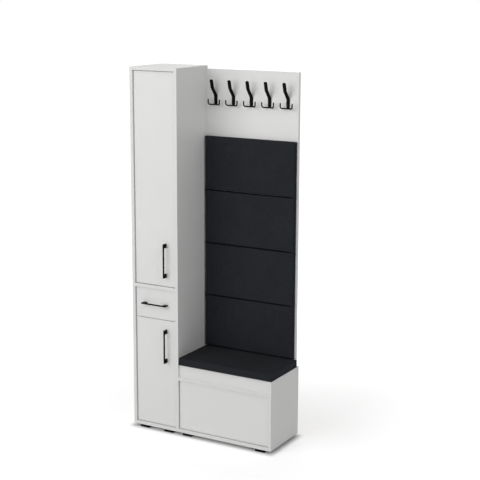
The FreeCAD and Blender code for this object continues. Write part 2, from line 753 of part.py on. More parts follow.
bottom_blank = box("tall_bottom_blank", ("tall_inner_left", "front_y", "foot_height"), panel_size)
bottom_tools = [
    *cams_bottom["board"],
    *copies("low_bush_hole", bush_hole, "-Z", low_bush),
    *copies("tall_foot_hole", foot_hole, "+Z", tall_feet),
]
keep("tall_bottom_panel", cut("tall_bottom_panel", bottom_blank, bottom_tools))

# Bench carcass

bench_size = ("bench_inner_width", "board_depth", "board_thickness")
bench_bottom = box("bench_bottom_blank", ("tall_right_x", "front_y", "foot_height"), bench_size)
bench_bottom_tools = cams_bench_bottom["board"] + copies("bench_foot_hole", foot_hole, "+Z", bench_feet)
keep("bench_bottom_panel", cut("bench_bottom_panel", bench_bottom, bench_bottom_tools))
bench_rail = box("bench_rail_blank", ("tall_right_x", "front_y", "bench_rail_z"), bench_size)
keep("bench_rail_board", cut("bench_rail_board", bench_rail, cams_bench_rail["board"]))
apron_size = ("bench_inner_width", "front_thickness", "bench_height - bench_rail_top")
keep("bench_apron", box("bench_apron", ("tall_right_x", "fronts_y", "bench_rail_top"), apron_size))
top_size = ("bench_inner_width", "rear_y - fronts_rear_y", "board_thickness")
bench_top = box("bench_top_blank", ("tall_right_x", "fronts_rear_y", "bench_top_z"), top_size)
seat_screw_holes = copies("seat_screw_holes", seat_screw_hole, "+Z", seat_screw_places)
keep("bench_top_board", cut("bench_top_board", bench_top, cams_bench_top["board"] + seat_screw_holes))

bench_rebate = box(
    "bench_rebate", ("bench_inner_right - cut_overrun", "back_y", "0"),
    ("rebate_width + cut_overrun", "back_board_thickness + cut_overrun", "bench_top_z"))
bench_right_tools = [bench_rebate, *flap_pin_holes["right"]]
for tools in bench_cams:
    bench_right_tools.extend(tools["right"])
bench_right = rounded_board(
    "bench_right_board", ("bench_inner_right", "front_y", "foot_height"),
    ("board_thickness", "carcass_depth", "bench_height - foot_height"))
keep("bench_right_side", cut("bench_right_side", bench_right, bench_right_tools))
keep("bench_back_board", box(
    "bench_back_board", ("tall_right_x", "back_y", "foot_height"),
    ("bench_inner_width + rebate_width - rebate_play", "back_board_thickness", "bench_top_z - foot_height")))

# Back panel over the bench

panel_corner = ("tall_right_x", "panel_y", "bench_height")
panel = rounded_board("back_panel_board", panel_corner, ("panel_width", "board_thickness", "panel_height"))
hook_places = []
for number in range(HOOK_COUNT):
    share = HOOK_MARGIN_SHARE + (1 - 2 * HOOK_MARGIN_SHARE) * number / (HOOK_COUNT - 1)
    hook_places.append(f"tall_right_x + {share} * panel_width")
hook_screw_places = [
    (along, "panel_y - hook_strip", f"hook_z + {lift}")
    for along in hook_places for lift in ("hook_screw_low", "hook_screw_high")
]
keep("hook_screws", compound("hook_screws", copies("hook_screws", hook_screw, "+Y", hook_screw_places)))
pad_screw_holes = copies("pad_screw_holes", pad_screw_hole, "-Y", pad_screw_places)
hook_screw_holes = copies("hook_screw_holes", hook_screw_hole, "+Y", hook_screw_places)
keep("back_panel", cut("back_panel", panel, pad_screw_holes + hook_screw_holes + panel_screw_holes))

# Upholstery: backing boards and crowned cushions with drawn-in sides

backing_boards = [cut(
    "seat_backing",
    box("seat_backing_blank",
        ("tall_right_x + soft_clearance + seat_board_inset", "front_y + seat_board_inset", "bench_height"),
        ("seat_width - 2 * seat_board_inset", "seat_depth - 2 * seat_board_inset", "seat_board_thickness")),
    seat_screw_holes)]
for number in range(PAD_COUNT):
    corner = (
        "panel_centre_x - pad_width / 2 + pad_board_inset", "panel_y - pad_board_thickness",
        f"pads_z + {number} * pad_pitch + pad_board_inset")
    size = ("pad_width - 2 * pad_board_inset", "pad_board_thickness", "pad_height - 2 * pad_board_inset")
    holes = pad_screw_holes[4 * number:4 * number + 4]
    blank = box(f"pad_backing_blank_{number + 1}", corner, size)
    backing_boards.append(cut(f"pad_backing_{number + 1}", blank, holes))
keep("pad_backing_boards", compound("pad_backing_boards", backing_boards))


def rounded_outline(width, depth, radius, level):
    """A rectangle with rounded corners, centred on the Z axis at the given level."""
    half_width = width / 2 - radius
    half_depth = depth / 2 - radius
    arcs = []
    for quarter, (side, end) in enumerate(((1, 1), (-1, 1), (-1, -1), (1, -1))):
        points = []
        for turn in (math.pi / 2 * (quarter + share) for share in (0, 0.5, 1)):
            x = side * half_width + radius * math.cos(turn)
            y = end * half_depth + radius * math.sin(turn)
            points.append(FreeCAD.Vector(x, y, level))
        arcs.append(Part.Arc(*points))
    edges = []
    for index, arc in enumerate(arcs):
        edges.append(arc.toShape())
        edges.append(Part.LineSegment(arc.EndPoint, arcs[(index + 1) % len(arcs)].StartPoint).toShape())
    return Part.Wire(edges)


def cushion(name, width, depth, thickness, kind):
    """A cushion on the XY plane: drawn-in sides, rounded edge and crowned top."""
    crown = sheet.get(kind + "_crown")
    edge = sheet.get(kind + "_edge")
    corner = sheet.get(kind + "_corner")
    draw = sheet.get(kind + "_draw")
    wall = thickness - crown - edge
    rows = [(share * wall, draw_share * draw) for share, draw_share in WALL_SHARES]
    for share in EDGE_SHARES:
        turn = math.pi / 2 * share
        rows.append((wall + edge * math.sin(turn), edge * (1 - math.cos(turn))))
    half = depth / 2 - edge
    rows.extend((wall + edge + rise * crown, edge + share * half) for share, rise in CROWN_SHARES)
    last_inset = rows[-1][1]
    outlines = []
    for level, inset in rows:
        radius = corner * (1 - (1 - CROWN_CORNER_SHARE) * inset / last_inset)
        outlines.append(rounded_outline(width - 2 * inset, depth - 2 * inset, radius, level))
    form = doc.addObject("Part::Feature", name)
    form.Shape = Part.makeLoft(outlines, True, True)
    return form


soft = sheet.get("soft_clearance")
right_part_width = sheet.get("total_width") - sheet.get("tall_width")
pad_form_width = right_part_width - sheet.get("panel_inset") - 2 * sheet.get("pad_side_margin")
pad_form_thickness = sheet.get("pad_thickness") - soft
pads_top = sheet.get("total_height") - sheet.get("panel_drop") - sheet.get("pads_drop")
pads_bottom = sheet.get("bench_height") + sheet.get("seat_thickness") + sheet.get("pad_lift")
pad_form_height = (pads_top - pads_bottom - (PAD_COUNT - 1) * sheet.get("pad_gap")) / PAD_COUNT
seat_form_width = right_part_width - soft
seat_form_depth = sheet.get("carcass_depth") - sheet.get("board_thickness") - soft
seat_form_thickness = sheet.get("seat_thickness") - soft
seat_form = cushion("seat_form", seat_form_width, seat_form_depth, seat_form_thickness, "seat")
place(seat_form, "seat_centre_x", "seat_centre_y", "bench_height + soft_clearance")
seat_pocket = box(
    "seat_pocket",
    ("tall_right_x + seat_board_inset", "front_y + seat_board_inset - soft_clearance",
     "bench_height - cut_overrun"),
    ("seat_width - 2 * (seat_board_inset - soft_clearance)",
     "seat_depth - 2 * (seat_board_inset - soft_clearance)",
     "seat_board_thickness + soft_clearance + cut_overrun"))
keep("seat_pad", cut("seat_pad", seat_form, [seat_pocket]))

for number in range(PAD_COUNT):
    pad_z = f"pads_z + {number} * pad_pitch"
    form = cushion(f"pad_form_{number + 1}", pad_form_width, pad_form_height, pad_form_thickness, "pad")
    place(form, "panel_centre_x", "panel_y - soft_clearance", f"{pad_z} + pad_height / 2", turn=TURN["-Y"])
    pocket = box(
        f"pad_pocket_{number + 1}",
        ("panel_centre_x - pad_width / 2 + pad_board_inset - soft_clearance",
         "panel_y - pad_board_thickness - soft_clearance", f"{pad_z} + pad_board_inset - soft_clearance"),
        ("pad_width - 2 * (pad_board_inset - soft_clearance)",
         "pad_board_thickness + soft_clearance + cut_overrun",
         "pad_height - 2 * (pad_board_inset - soft_clearance)"))
    keep(f"back_pad_{number + 1}", cut(f"back_pad_{number + 1}", form, [pocket]))

# Coat hooks: a bent strip on the panel with two thin prongs that turn up beside its foot

low_bend = "hook_base_height - hook_strip * (hook_lean_length - hook_lean_rise) / hook_lean_forward"
lean_over = "hook_lean_rise / hook_lean_length"
lean_down = "hook_lean_forward / hook_lean_length"
end_over = "hook_end_rise / hook_end_length"
end_down = "hook_end_forward / hook_end_length"
mitre = f"hook_strip / (1 + {lean_over} * {end_over} + {lean_down} * {end_down})"
lean_top = "hook_base_height + hook_lean_rise"
arm_forward = "hook_lean_forward + hook_end_forward"
strip_outline = [
    ("0", "0"),
    ("-hook_strip", "0"),
    ("-hook_strip", low_bend),
    (f"-hook_lean_forward - {mitre} * ({lean_over} + {end_over})",
     f"{lean_top} - {mitre} * ({lean_down} + {end_down})"),
    (f"-({arm_forward}) - hook_strip * {end_over}", f"{lean_top} + hook_end_rise - hook_strip * {end_down}"),
    (f"-({arm_forward})", f"{lean_top} + hook_end_rise"),
    ("-hook_lean_forward", lean_top),
    ("0", "hook_base_height"),
]


def bend_edges(body, corners):
    """Names of the edges across the strip at the given corners of its outline."""
    names = []
    for number, edge in enumerate(body.Shape.Edges, start=1):
        middle = edge.CenterOfMass
        spot = FreeCAD.Vector(middle.y, middle.z, middle.x)
        if any((spot - corner).Length < soft for corner in corners):
            names.append(f"Edge{number}")
    return names


def round_edges(body, name, base, edge_names, radius):
    rounding = body.newObject("PartDesign::Fillet", name)
    rounding.Base = (base, edge_names)
    set_sizes(rounding, Radius=radius)
    doc.recompute()
    return rounding


def hook_strip(name):
    body = extruded(name, "YZ_Plane", strip_outline, "hook_width")
    doc.recompute()
    sketch = body.Group[0]
    corners = [line.StartPoint for line in sketch.Geometry]
    inner_edges = bend_edges(body, [corners[2], corners[6]])
    inner = round_edges(body, name + "_inner", body.Tip, inner_edges, "hook_bend_radius")
    outer_edges = bend_edges(body, [corners[3], corners[7]])
    outer = round_edges(body, name + "_outer", inner, outer_edges, "hook_bend_radius + hook_strip")
    ends = []
    for number, edge in enumerate(body.Shape.Edges, start=1):
        if abs(edge.Length - sheet.get("hook_strip")) < soft:
            ends.append(f"Edge{number}")
    round_edges(body, name + "_ends", outer, ends, "hook_tip_radius")
    return body


def hook_prongs(name):
    """Two prongs that run outwards and forwards from the strip's foot and then turn up."""
    half = "hook_prong_diameter / 2"
    prongs = []
    for side, sign, start, upright in (("left", "-", 180, 1), ("right", "", 270, -1)):
        label = f"{name}_{side}"
        way = "-X" if sign else "+X"
        run = rod(label + "_run", way, ("0", "0", "0"), "hook_prong_diameter", "hook_prong_run")
        bend = doc.addObject("Part::Torus", label + "_bend")
        set_sizes(bend, Radius1="hook_prong_bend", Radius2=half)
        bend.Angle3 = 90
        spin = TURN["-Y"] * FreeCAD.Rotation(FreeCAD.Vector(0, 0, 1), start)
        place(bend, f"{sign}hook_prong_run", "0", "hook_prong_bend", turn=spin)
        reach = f"{sign}(hook_prong_run + hook_prong_bend)"
        tip = rod(label + "_tip", "+Z", (reach, "0", "hook_prong_bend"), "hook_prong_diameter", "hook_prong_tip")
        balls = []
        for end, spot in (("root", ("0", "0")), ("end", (reach, "hook_prong_bend + hook_prong_tip"))):
            ball = set_sizes(doc.addObject("Part::Sphere", f"{label}_{end}"), Radius=half)
            balls.append(place(ball, spot[0], "0", spot[1]))
        prong = fuse(label, [run, bend, tip, *balls])
        prong.Placement = FreeCAD.Placement(FreeCAD.Vector(), FreeCAD.Rotation(FreeCAD.Vector(0, 0, upright), 1))
        prong.setExpression(".Placement.Rotation.Angle", bound("hook_prong_splay"))
        prongs.append(place(prong, "0", f"hook_prong_sink - hook_strip - {half}", f"{half} - hook_prong_drop"))
    return prongs


for number, along in enumerate(hook_places, start=1):
    name = f"hook_{number}"
    raw = fuse(name + "_raw", [hook_strip(name + "_strip"), *hook_prongs(name + "_prong")])
    place(raw, along, "panel_y", "hook_z")
    holes = hook_screw_holes[2 * number - 2:2 * number]
    keep(f"coat_hook_{number}", cut(f"coat_hook_{number}", raw, holes))

# Bracket handles: a bar on two end posts, drawn lying along X with the bar towards -Y


def handle_blank(name, length):
    ends = f"{length} / 2"
    post = f"{length} / 2 - handle_post_length"
    bar = "-(handle_projection - handle_bar_depth)"
    outline = [
        (f"-({ends})", "0"), (f"-({post})", "0"), (f"-({post})", bar), (post, bar), (post, "0"),
        (ends, "0"), (ends, "-handle_projection"), (f"-({ends})", "-handle_projection"),
    ]
    body = extruded(name, "XY_Plane", outline, "handle_bar_width")
    doc.recompute()
    bounds = body.Shape.BoundBox
    outer = []
    for number, edge in enumerate(body.Shape.Edges, start=1):
        middle = edge.CenterOfMass
        at_end = abs(abs(middle.x) - bounds.XMax) < soft and middle.y < -soft
        if at_end or abs(middle.y - bounds.YMin) < soft:
            outer.append(f"Edge{number}")
    round_edges(body, name + "_edges", body.Tip, outer, "handle_edge")
    return body


def handle_set(name, length, centre, upright):
    """One handle with its two screws; gives back the screw holes for the front that carries it."""
    turn = FreeCAD.Rotation(FreeCAD.Vector(0, 1, 0), 90) if upright else FreeCAD.Rotation()
    blank = place(handle_blank(name + "_blank", length), *centre, turn=turn)
    x, _, z = centre
    spots = []
    for sign in "-+":
        shift = f"{sign} ({length} / 2 - handle_screw_inset)"
        if upright:
            spots.append((x, "fronts_rear_y", f"{z} {shift}"))
        else:
            spots.append((f"{x} {shift}", "fronts_rear_y", z))
    holes = copies(name + "_hole", handle_screw_hole, "-Y", spots)
    keep(name, cut(name, blank, holes))
    keep(name + "_screws", compound(name + "_screws", copies(name + "_screw", handle_screw, "-Y", spots)))
    return holes


handle_x = "front_right_x - handle_side_offset"
upper_handle_z = "upper_door_z + handle_end_offset + door_handle_length / 2"
lower_handle_z = "lower_door_top - handle_end_offset - door_handle_length / 2"
drawer_handle_z = "drawer_z + drawer_front_height / 2"
upper_handle_holes = handle_set(
    "upper_door_handle", "door_handle_length", (handle_x, "fronts_y", upper_handle_z), True)
lower_handle_holes = handle_set(
    "lower_door_handle", "door_handle_length", (handle_x, "fronts_y", lower_handle_z), True)
drawer_handle_spot = ("left_x + tall_width / 2", "fronts_y", drawer_handle_z)
drawer_handle_holes = handle_set("drawer_handle", "drawer_handle_length", drawer_handle_spot, False)

# Doors on their pivot pins

pin_bore = "pivot_pin_diameter + 2 * running_clearance"


def pivot_pair(name, bottom, top, low_reach, high_reach):
    """A door's two pins, each reaching that far out of the door; gives back their bores."""
    ends = (
        ("low", f"{bottom} - ({low_reach})", f"{low_reach} + pivot_pin_depth"),
        ("high", f"{top} - pivot_pin_depth", f"{high_reach} + pivot_pin_depth"),
    )
    pins = []
    bores = []
    for end, height, length in ends:
        start = ("pivot_x", "pivot_y", height)
        pins.append(rod(f"{name}_{end}_pin", "+Z", start, "pivot_pin_diameter", length))
        bores.append(rod(f"{name}_{end}_bore", "+Z", start, pin_bore, length))
    keep(name + "_pivot_pins", compound(name + "_pivot_pins", pins))
    return bores


bush_reach = "front_gap + bush_depth - bush_play"
plate_reach = "(front_gap + pivot_plate_thickness) / 2"
upper_bores = pivot_pair("upper_door", "upper_door_z", "upper_door_top", bush_reach, bush_reach)
lower_bores = pivot_pair("lower_door", "lower_door_z", "lower_door_top", bush_reach, plate_reach)
upper_board = rounded_board(
    "upper_door_board", ("front_x", "fronts_y", "upper_door_z"),
    ("front_width", "front_thickness", "upper_door_top - upper_door_z"))
keep("upper_door", cut("upper_door", upper_board, upper_bores + upper_handle_holes))
lower_board = rounded_board(
    "lower_door_board", ("front_x", "fronts_y", "lower_door_z"),
    ("front_width", "front_thickness", "lower_door_height"))
keep("lower_door", cut("lower_door", lower_board, lower_bores + lower_handle_holes))

# Drawer box: the bottom runs in grooves of the front and the sides

groove = box(
    "drawer_groove",
    ("box_left_x + drawer_side_thickness - drawer_groove_depth", "fronts_rear_y - drawer_groove_depth",
     "box_bottom_z - running_clearance"),
    ("box_width - 2 * (drawer_side_thickness - drawer_groove_depth)",
     "drawer_length + drawer_groove_depth + cut_overrun",
     "drawer_bottom_thickness + 2 * running_clearance"))
drawer_board = rounded_board(
    "drawer_front_board", ("front_x", "fronts_y", "drawer_z"),
    ("front_width", "front_thickness", "drawer_front_height"))
keep("drawer_front", cut("drawer_front", drawer_board, [groove, *drawer_handle_holes]))
for side, corner_x in (("left", "box_left_x"), ("right", "box_left_x + box_width - drawer_side_thickness")):
    blank = box(
        f"drawer_{side}_blank", (corner_x, "fronts_rear_y", "box_z"),
        ("drawer_side_thickness", "drawer_length", "drawer_side_height"))
    keep(f"drawer_{side}_side", cut(f"drawer_{side}_side", blank, [groove]))
keep("drawer_back", box(
    "drawer_back",
    ("box_left_x + drawer_side_thickness", "fronts_rear_y + drawer_length - drawer_side_thickness",
     "box_back_z"),
    ("box_width - 2 * drawer_side_thickness", "drawer_side_thickness",
     "drawer_side_height - drawer_bottom_lift - drawer_bottom_thickness")))
bottom_play = "drawer_groove_depth - rebate_play"
keep("drawer_bottom", box(
    "drawer_bottom",
    (f"box_left_x + drawer_side_thickness - ({bottom_play})", f"fronts_rear_y - ({bottom_play})",
     "box_bottom_z"),
    (f"box_width - 2 * (drawer_side_thickness - ({bottom_play}))", f"drawer_length + {bottom_play}",
     "drawer_bottom_thickness")))

# Telescopic runners: three nested channels on each side of the drawer

middle_near = "runner_steel + runner_play"
inner_near = "2 * (runner_steel + runner_play) + runner_steel"
step = "(runner_steel + runner_play)"


def channel_pair(name, near, far, half_height, web_at_wall):
    """A pair of channels, measured from the cabinet walls; the web lies at the wall or at the drawer."""
    pair = []
    open_near = f"{near} + runner_steel" if web_at_wall else f"{near} - cut_overrun"
    open_far = f"{far} + cut_overrun" if web_at_wall else f"{far} - runner_steel"
    for side in ("left", "right"):
        label = f"{name}_{side}"
        outer_x, gap_x = f"tall_inner_left + {near}", f"tall_inner_left + {open_near}"
        if side == "right":
            outer_x, gap_x = f"tall_inner_right - ({far})", f"tall_inner_right - ({open_far})"
        outer = box(
            label + "_outer", (outer_x, "runner_y", f"runner_z - ({half_height})"),
            (f"{far} - ({near})", "runner_length", f"2 * ({half_height})"))
        gap = box(
            label + "_gap", (gap_x, "runner_y - cut_overrun", f"runner_z - ({half_height} - runner_steel)"),
            (f"{open_far} - ({open_near})", "runner_length + 2 * cut_overrun",
             f"2 * ({half_height} - runner_steel)"))
        pair.append(cut(label, outer, [gap]))
    return keep(name, compound(name, pair))


channel_pair("runner_outer_channels", "0", "runner_reach", "runner_height / 2", True)
channel_pair(
    "runner_middle_channels", middle_near, f"runner_reach + {step}", f"runner_height / 2 - {step}", True)
channel_pair("runner_inner_channels", inner_near, "runner_width", f"runner_height / 2 - 2 * {step}", False)

# Shoe flap and the rack that tips out with it

flap_corner = ("flap_x", "fronts_y", "lower_door_z")
flap_board = rounded_board("shoe_flap_board", flap_corner, ("flap_width", "front_thickness", "flap_height"))
keep("shoe_flap", cut("shoe_flap", flap_board, flap_bores))


def sector(name, radius, angle, height):
    piece = doc.addObject("Part::Cylinder", name)
    return set_sizes(piece, Radius=radius, Angle=angle, Height=height)


def rack_cheek(name, x):
    """A quarter disc about the flap's axis, with an arc slot that runs along the stop pin."""
    slot_half = "(flap_pin_diameter / 2 + stop_play)"
    quarter = sector(name + "_quarter", "rack_radius", "90", "rack_wall")
    through = "rack_wall + 2 * cut_overrun"
    slot_core = sector(name + "_core", f"stop_radius - {slot_half}", "360", through)
    slot_band = sector(name + "_band", f"stop_radius + {slot_half}", "flap_tilt + 2 * stop_margin", through)
    slot_band.Placement = FreeCAD.Placement(FreeCAD.Vector(), FreeCAD.Rotation(FreeCAD.Vector(0, 0, 1), 1))
    slot_band.setExpression(".Placement.Rotation.Angle", bound("stop_angle - flap_tilt - stop_margin"))
    for tool in (slot_core, slot_band):
        place(tool, "0", "0", "-cut_overrun")
    slot = cut(name + "_slot", slot_band, [slot_core])
    board_side = box(
        name + "_front", ("-cut_overrun", "-cut_overrun", "-cut_overrun"),
        ("front_thickness - flap_axis_setback + cut_overrun", "rack_radius + 2 * cut_overrun", through))
    rear_side = box(
        name + "_rear", ("rack_depth", "-cut_overrun", "-cut_overrun"),
        ("rack_radius", "rack_radius + 2 * cut_overrun", through))
    cheek = cut(name, quarter, [slot, board_side, rear_side])
    return place(cheek, x, "flap_axis_y", "flap_axis_z", turn=SIDEWAYS)


keep("rack_cheeks", compound("rack_cheeks", [
    rack_cheek("rack_left_cheek", "tall_right_x + rack_side_gap"),
    rack_cheek("rack_right_cheek", "bench_inner_right - rack_side_gap - rack_wall"),
]))
floor_depth = "rack_floor_reach - (front_thickness - flap_axis_setback)"
floor_plate = box(
    "rack_floor_plate", ("rack_inner_left", "fronts_rear_y", "flap_axis_z"),
    ("rack_inner_width", floor_depth, "rack_wall"))
floor_lip = box(
    "rack_floor_lip", ("rack_inner_left", "flap_axis_y + rack_floor_reach - rack_wall", "flap_axis_z"),
    ("rack_inner_width", "rack_wall", "rack_lip_height"))
keep("rack_floor", fuse("rack_floor", [floor_plate, floor_lip]))
divider_plate = box(
    "rack_divider_plate", ("0", "rack_divider_start", "-rack_wall / 2"),
    ("rack_inner_width", "rack_divider_reach - rack_divider_start", "rack_wall"))
divider_lip = box(
    "rack_divider_edge", ("0", "rack_divider_reach - rack_wall", "-rack_wall / 2"),
    ("rack_inner_width", "rack_wall", "rack_divider_lip"))
divider = fuse("rack_divider", [divider_plate, divider_lip])
divider.Placement = FreeCAD.Placement(FreeCAD.Vector(), FreeCAD.Rotation(FreeCAD.Vector(1, 0, 0), 1))
divider.setExpression(".Placement.Rotation.Angle", bound("rack_divider_angle"))
keep("rack_divider", place(divider, "rack_inner_left", "flap_axis_y", "flap_axis_z"))

# Push latch under the rail board, with a plunger against the back of the flap

latch_centre_x = "tall_right_x + bench_inner_width / 2"
latch_block = box(
    "latch_block", (f"{latch_centre_x} - latch_width / 2", "latch_y", "bench_rail_z - latch_height"),
    ("latch_width", "latch_length", "latch_height"))
plunger_start = (latch_centre_x, "fronts_rear_y + latch_tip_gap", "latch_axis_z")
plunger_bore = "latch_plunger_diameter + 2 * running_clearance"
latch_bore = rod("latch_bore", "+Y", plunger_start, plunger_bore, "latch_plunger_length + soft_clearance")
keep("push_latch_body", cut("push_latch_body", latch_block, [latch_bore]))
keep("push_latch_plunger", rod(
    "push_latch_plunger", "+Y", plunger_start, "latch_plunger_diameter", "latch_plunger_length"))

# Check every piece, then write one file per node

doc.recompute()
faults = [piece.Name for piece in doc.Objects if {"Invalid", "Error"} & set(piece.State)]
faults += [label for label, piece in nodes.items() if piece.Shape.isNull() or not piece.Shape.isValid()]
if faults:
    raise RuntimeError("These pieces failed: " + ", ".join(faults))
os.makedirs("parts", exist_ok=True)
for label, piece in nodes.items():
    piece.Shape.exportStep(f"parts/{label}.step")
    bounds = piece.Shape.BoundBox
    spans = (bounds.XLength, bounds.YLength, bounds.ZLength)
    print(label, len(piece.Shape.Solids), "solids", " x ".join(f"{span:.1f}" for span in spans))
print(len(nodes), "nodes written")
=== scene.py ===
# %% [markdown]
# # Dressing a hallway wardrobe
#
# The wardrobe arrives here as a finished model: boards, doors, drawer, flap, hooks and fittings all
# have their real shape and place. What is missing is how it looks. This lesson gives every piece its
# finish and builds the soft pieces, which a solid model can only hint at. The model is loaded first,
# because everything else is placed by it.

# %% Load the model
import json
import math

import bmesh
import bpy
from mathutils import Matrix, Vector, noise


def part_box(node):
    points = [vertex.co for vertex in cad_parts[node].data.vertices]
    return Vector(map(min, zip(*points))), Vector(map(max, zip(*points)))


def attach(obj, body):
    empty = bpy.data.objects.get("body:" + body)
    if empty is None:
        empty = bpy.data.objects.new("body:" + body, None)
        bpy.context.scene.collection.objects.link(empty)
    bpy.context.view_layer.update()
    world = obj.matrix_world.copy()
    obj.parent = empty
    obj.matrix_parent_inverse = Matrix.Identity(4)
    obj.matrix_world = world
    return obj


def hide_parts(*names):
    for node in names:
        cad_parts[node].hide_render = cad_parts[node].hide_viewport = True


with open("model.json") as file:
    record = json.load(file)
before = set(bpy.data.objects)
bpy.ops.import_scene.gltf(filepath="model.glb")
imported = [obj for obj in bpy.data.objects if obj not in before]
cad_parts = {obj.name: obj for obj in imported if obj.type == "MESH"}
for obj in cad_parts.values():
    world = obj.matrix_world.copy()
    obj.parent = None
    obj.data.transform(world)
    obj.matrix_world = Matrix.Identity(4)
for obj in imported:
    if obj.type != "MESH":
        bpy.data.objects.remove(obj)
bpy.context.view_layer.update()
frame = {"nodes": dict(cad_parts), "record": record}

nodes = frame["nodes"]
record = frame["record"]
scene = bpy.context.scene

# %% [markdown]
# ## The camera
#
# The photograph was taken from the right and a little above, with a long lens. A camera can be set by
# eye, but here its place, its two angles and its focal length were worked out from the wardrobe's own
# straight edges, so they are written down as numbers. The three directions of the camera (right, up and
# back) are the columns of its matrix, and a small roll turns the first two.

# %% Set the camera
SENSOR_WIDTH = 36.0
PHOTO_WIDTH = 480
FOCAL_PIXELS = 1193.7
CAMERA_PLACE = Vector((3.2760, -5.4778, 2.4535))
AZIMUTH, ELEVATION, ROLL = (math.radians(angle) for angle in (29.61, 11.94, 0.239))

level = math.cos(ELEVATION)
back = Vector((math.sin(AZIMUTH) * level, -math.cos(AZIMUTH) * level, math.sin(ELEVATION)))
right = Vector((math.cos(AZIMUTH), math.sin(AZIMUTH), 0))
up = back.cross(right)
turned_right = right * math.cos(ROLL) + up * math.sin(ROLL)
turned_up = up * math.cos(ROLL) - right * math.sin(ROLL)

camera = bpy.data.objects.new("camera", bpy.data.cameras.new("camera"))
camera.data.sensor_width = SENSOR_WIDTH
camera.data.lens = FOCAL_PIXELS * SENSOR_WIDTH / PHOTO_WIDTH
view_turn = Matrix((turned_right, turned_up, back)).transposed().to_4x4()
camera.matrix_world = Matrix.Translation(CAMERA_PLACE) @ view_turn
scene.collection.objects.link(camera)
scene.camera = camera
scene.view_settings.view_transform = "Standard"
print("lens", round(camera.data.lens, 1), "mm")

# %% [markdown]
# ## Small helpers for shader nodes
#
# Every finish below is a handful of shader nodes. Writing out each link makes long code, so one helper
# adds a node, sets its values and joins whatever sockets it is given, and a few others name the nodes
# that are used most. Two more make and place node groups with named inputs and outputs, for effects
# that several finishes share.

# %% Node helpers
# Nearly all of a noise lies between these two values
NOISE_MIDDLE = (0.3, 0.7)
# Sockets of a colour mix: its factor, its two colours and its result
MIX_FACTOR, MIX_LOW, MIX_HIGH, MIX_RESULT = 0, 6, 7, 2


def add(tree, kind, values=None, **settings):
    """Add a shader node; a value that is a socket is linked, and any other value is set."""
    node = tree.nodes.new("ShaderNode" + kind)
    for name, setting in settings.items():
        setattr(node, name, setting)
    for name, value in (values or {}).items():
        if isinstance(value, bpy.types.NodeSocket):
            tree.links.new(value, node.inputs[name])
        else:
            node.inputs[name].default_value = value
    return node


def calc(tree, operation, *terms):
    return add(tree, "Math", dict(enumerate(terms)), operation=operation).outputs[0]


def vector(tree, operation, first, second=None):
    """A calculation with vectors; the second term of SCALE is a single value."""
    values = {0: first}
    if second is not None:
        values["Scale" if operation == "SCALE" else 1] = second
    return add(tree, "VectorMath", values, operation=operation).outputs[0]


def weighted(tree, first, second, share):
    """Add two values, the first with the given share and the second with the rest."""
    rest = calc(tree, "MULTIPLY", second, 1 - share)
    return calc(tree, "ADD", calc(tree, "MULTIPLY", first, share), rest)


def spread(tree, value, low, high, start=0.0, end=1.0):
    """Map a value from one range to another, and keep it inside."""
    ranges = {"Value": value, "From Min": start, "From Max": end, "To Min": low, "To Max": high}
    return add(tree, "MapRange", ranges).outputs["Result"]


def object_place(tree):
    return add(tree, "TexCoord").outputs["Object"]


def noise_value(tree, coords, scale, detail=2.0, **more):
    return add(tree, "TexNoise", {"Vector": coords, "Scale": scale, "Detail": detail, **more}).outputs[0]


def blend_colour(tree, mask, low, high):
    values = {MIX_FACTOR: mask, MIX_LOW: low, MIX_HIGH: high}
    return add(tree, "Mix", values, data_type="RGBA").outputs[MIX_RESULT]


def grey(value):
    return (value, value, value, 1.0)


print("node helpers ready")

# %% Helpers for node groups
def new_group(name, inputs, outputs):
    """A node group; gives back the group, the sockets inside its entrance and those inside its exit."""
    group = bpy.data.node_groups.new(name, "ShaderNodeTree")
    for label, kind, value in inputs:
        socket = group.interface.new_socket(label, in_out="INPUT", socket_type="NodeSocket" + kind)
        socket.default_value = value
    for label, kind in outputs:
        group.interface.new_socket(label, in_out="OUTPUT", socket_type="NodeSocket" + kind)
    entrance = group.nodes.new("NodeGroupInput").outputs
    leave = group.nodes.new("NodeGroupOutput").inputs
    return group, entrance, leave


def use_group(tree, group, values=None):
    return add(tree, "Group", values, node_tree=group).outputs


print("group helpers ready")

# %% [markdown]
# ## Floor and light
#
# The wardrobe stands on a plain white floor that runs out into a white background. A floor that is
# bright enough to look white would throw too much light on the object, so it has two sides: to the
# camera it adds a glow on top of its lit surface, and to all other light it is an ordinary pale floor.
# The soft shadow stays visible, because it comes from the lit part. Under the wardrobe there is no
# glow, so the strip of floor that shows between the feet stays dark, and further out the glow grows,
# where the lamps no longer reach. The main light is one large soft panel in front, a little to the
# left, so the fronts are brightest and the right-hand sides fall into shade. A second panel softens
# those sides, and a third one behind lights the top and the back.

# %% Make the floor
FLOOR_SIZE = 60.0


def as_object(name, bm):
    """Make an object of a bmesh and link it to the scene."""
    mesh = bpy.data.meshes.new(name)
    bm.to_mesh(mesh)
    bm.free()
    piece = bpy.data.objects.new(name, mesh)
    scene.collection.objects.link(piece)
    return piece


bm = bmesh.new()
bmesh.ops.create_grid(bm, x_segments=2, y_segments=2, size=FLOOR_SIZE / 2)
floor = as_object("floor", bm)
print("floor", FLOOR_SIZE, "m wide")

# %% The glow of the floor
FLOOR_COLOUR = grey(0.80)
GLOW_NEAR, GLOW_FAR = 0.45, 0.82
# Distances from the footprint at which the glow starts, is at its near value, and grows to its far value
UNDER, CLOSE, NEAR, FAR = 0.0, 0.035, 0.3, 2.6


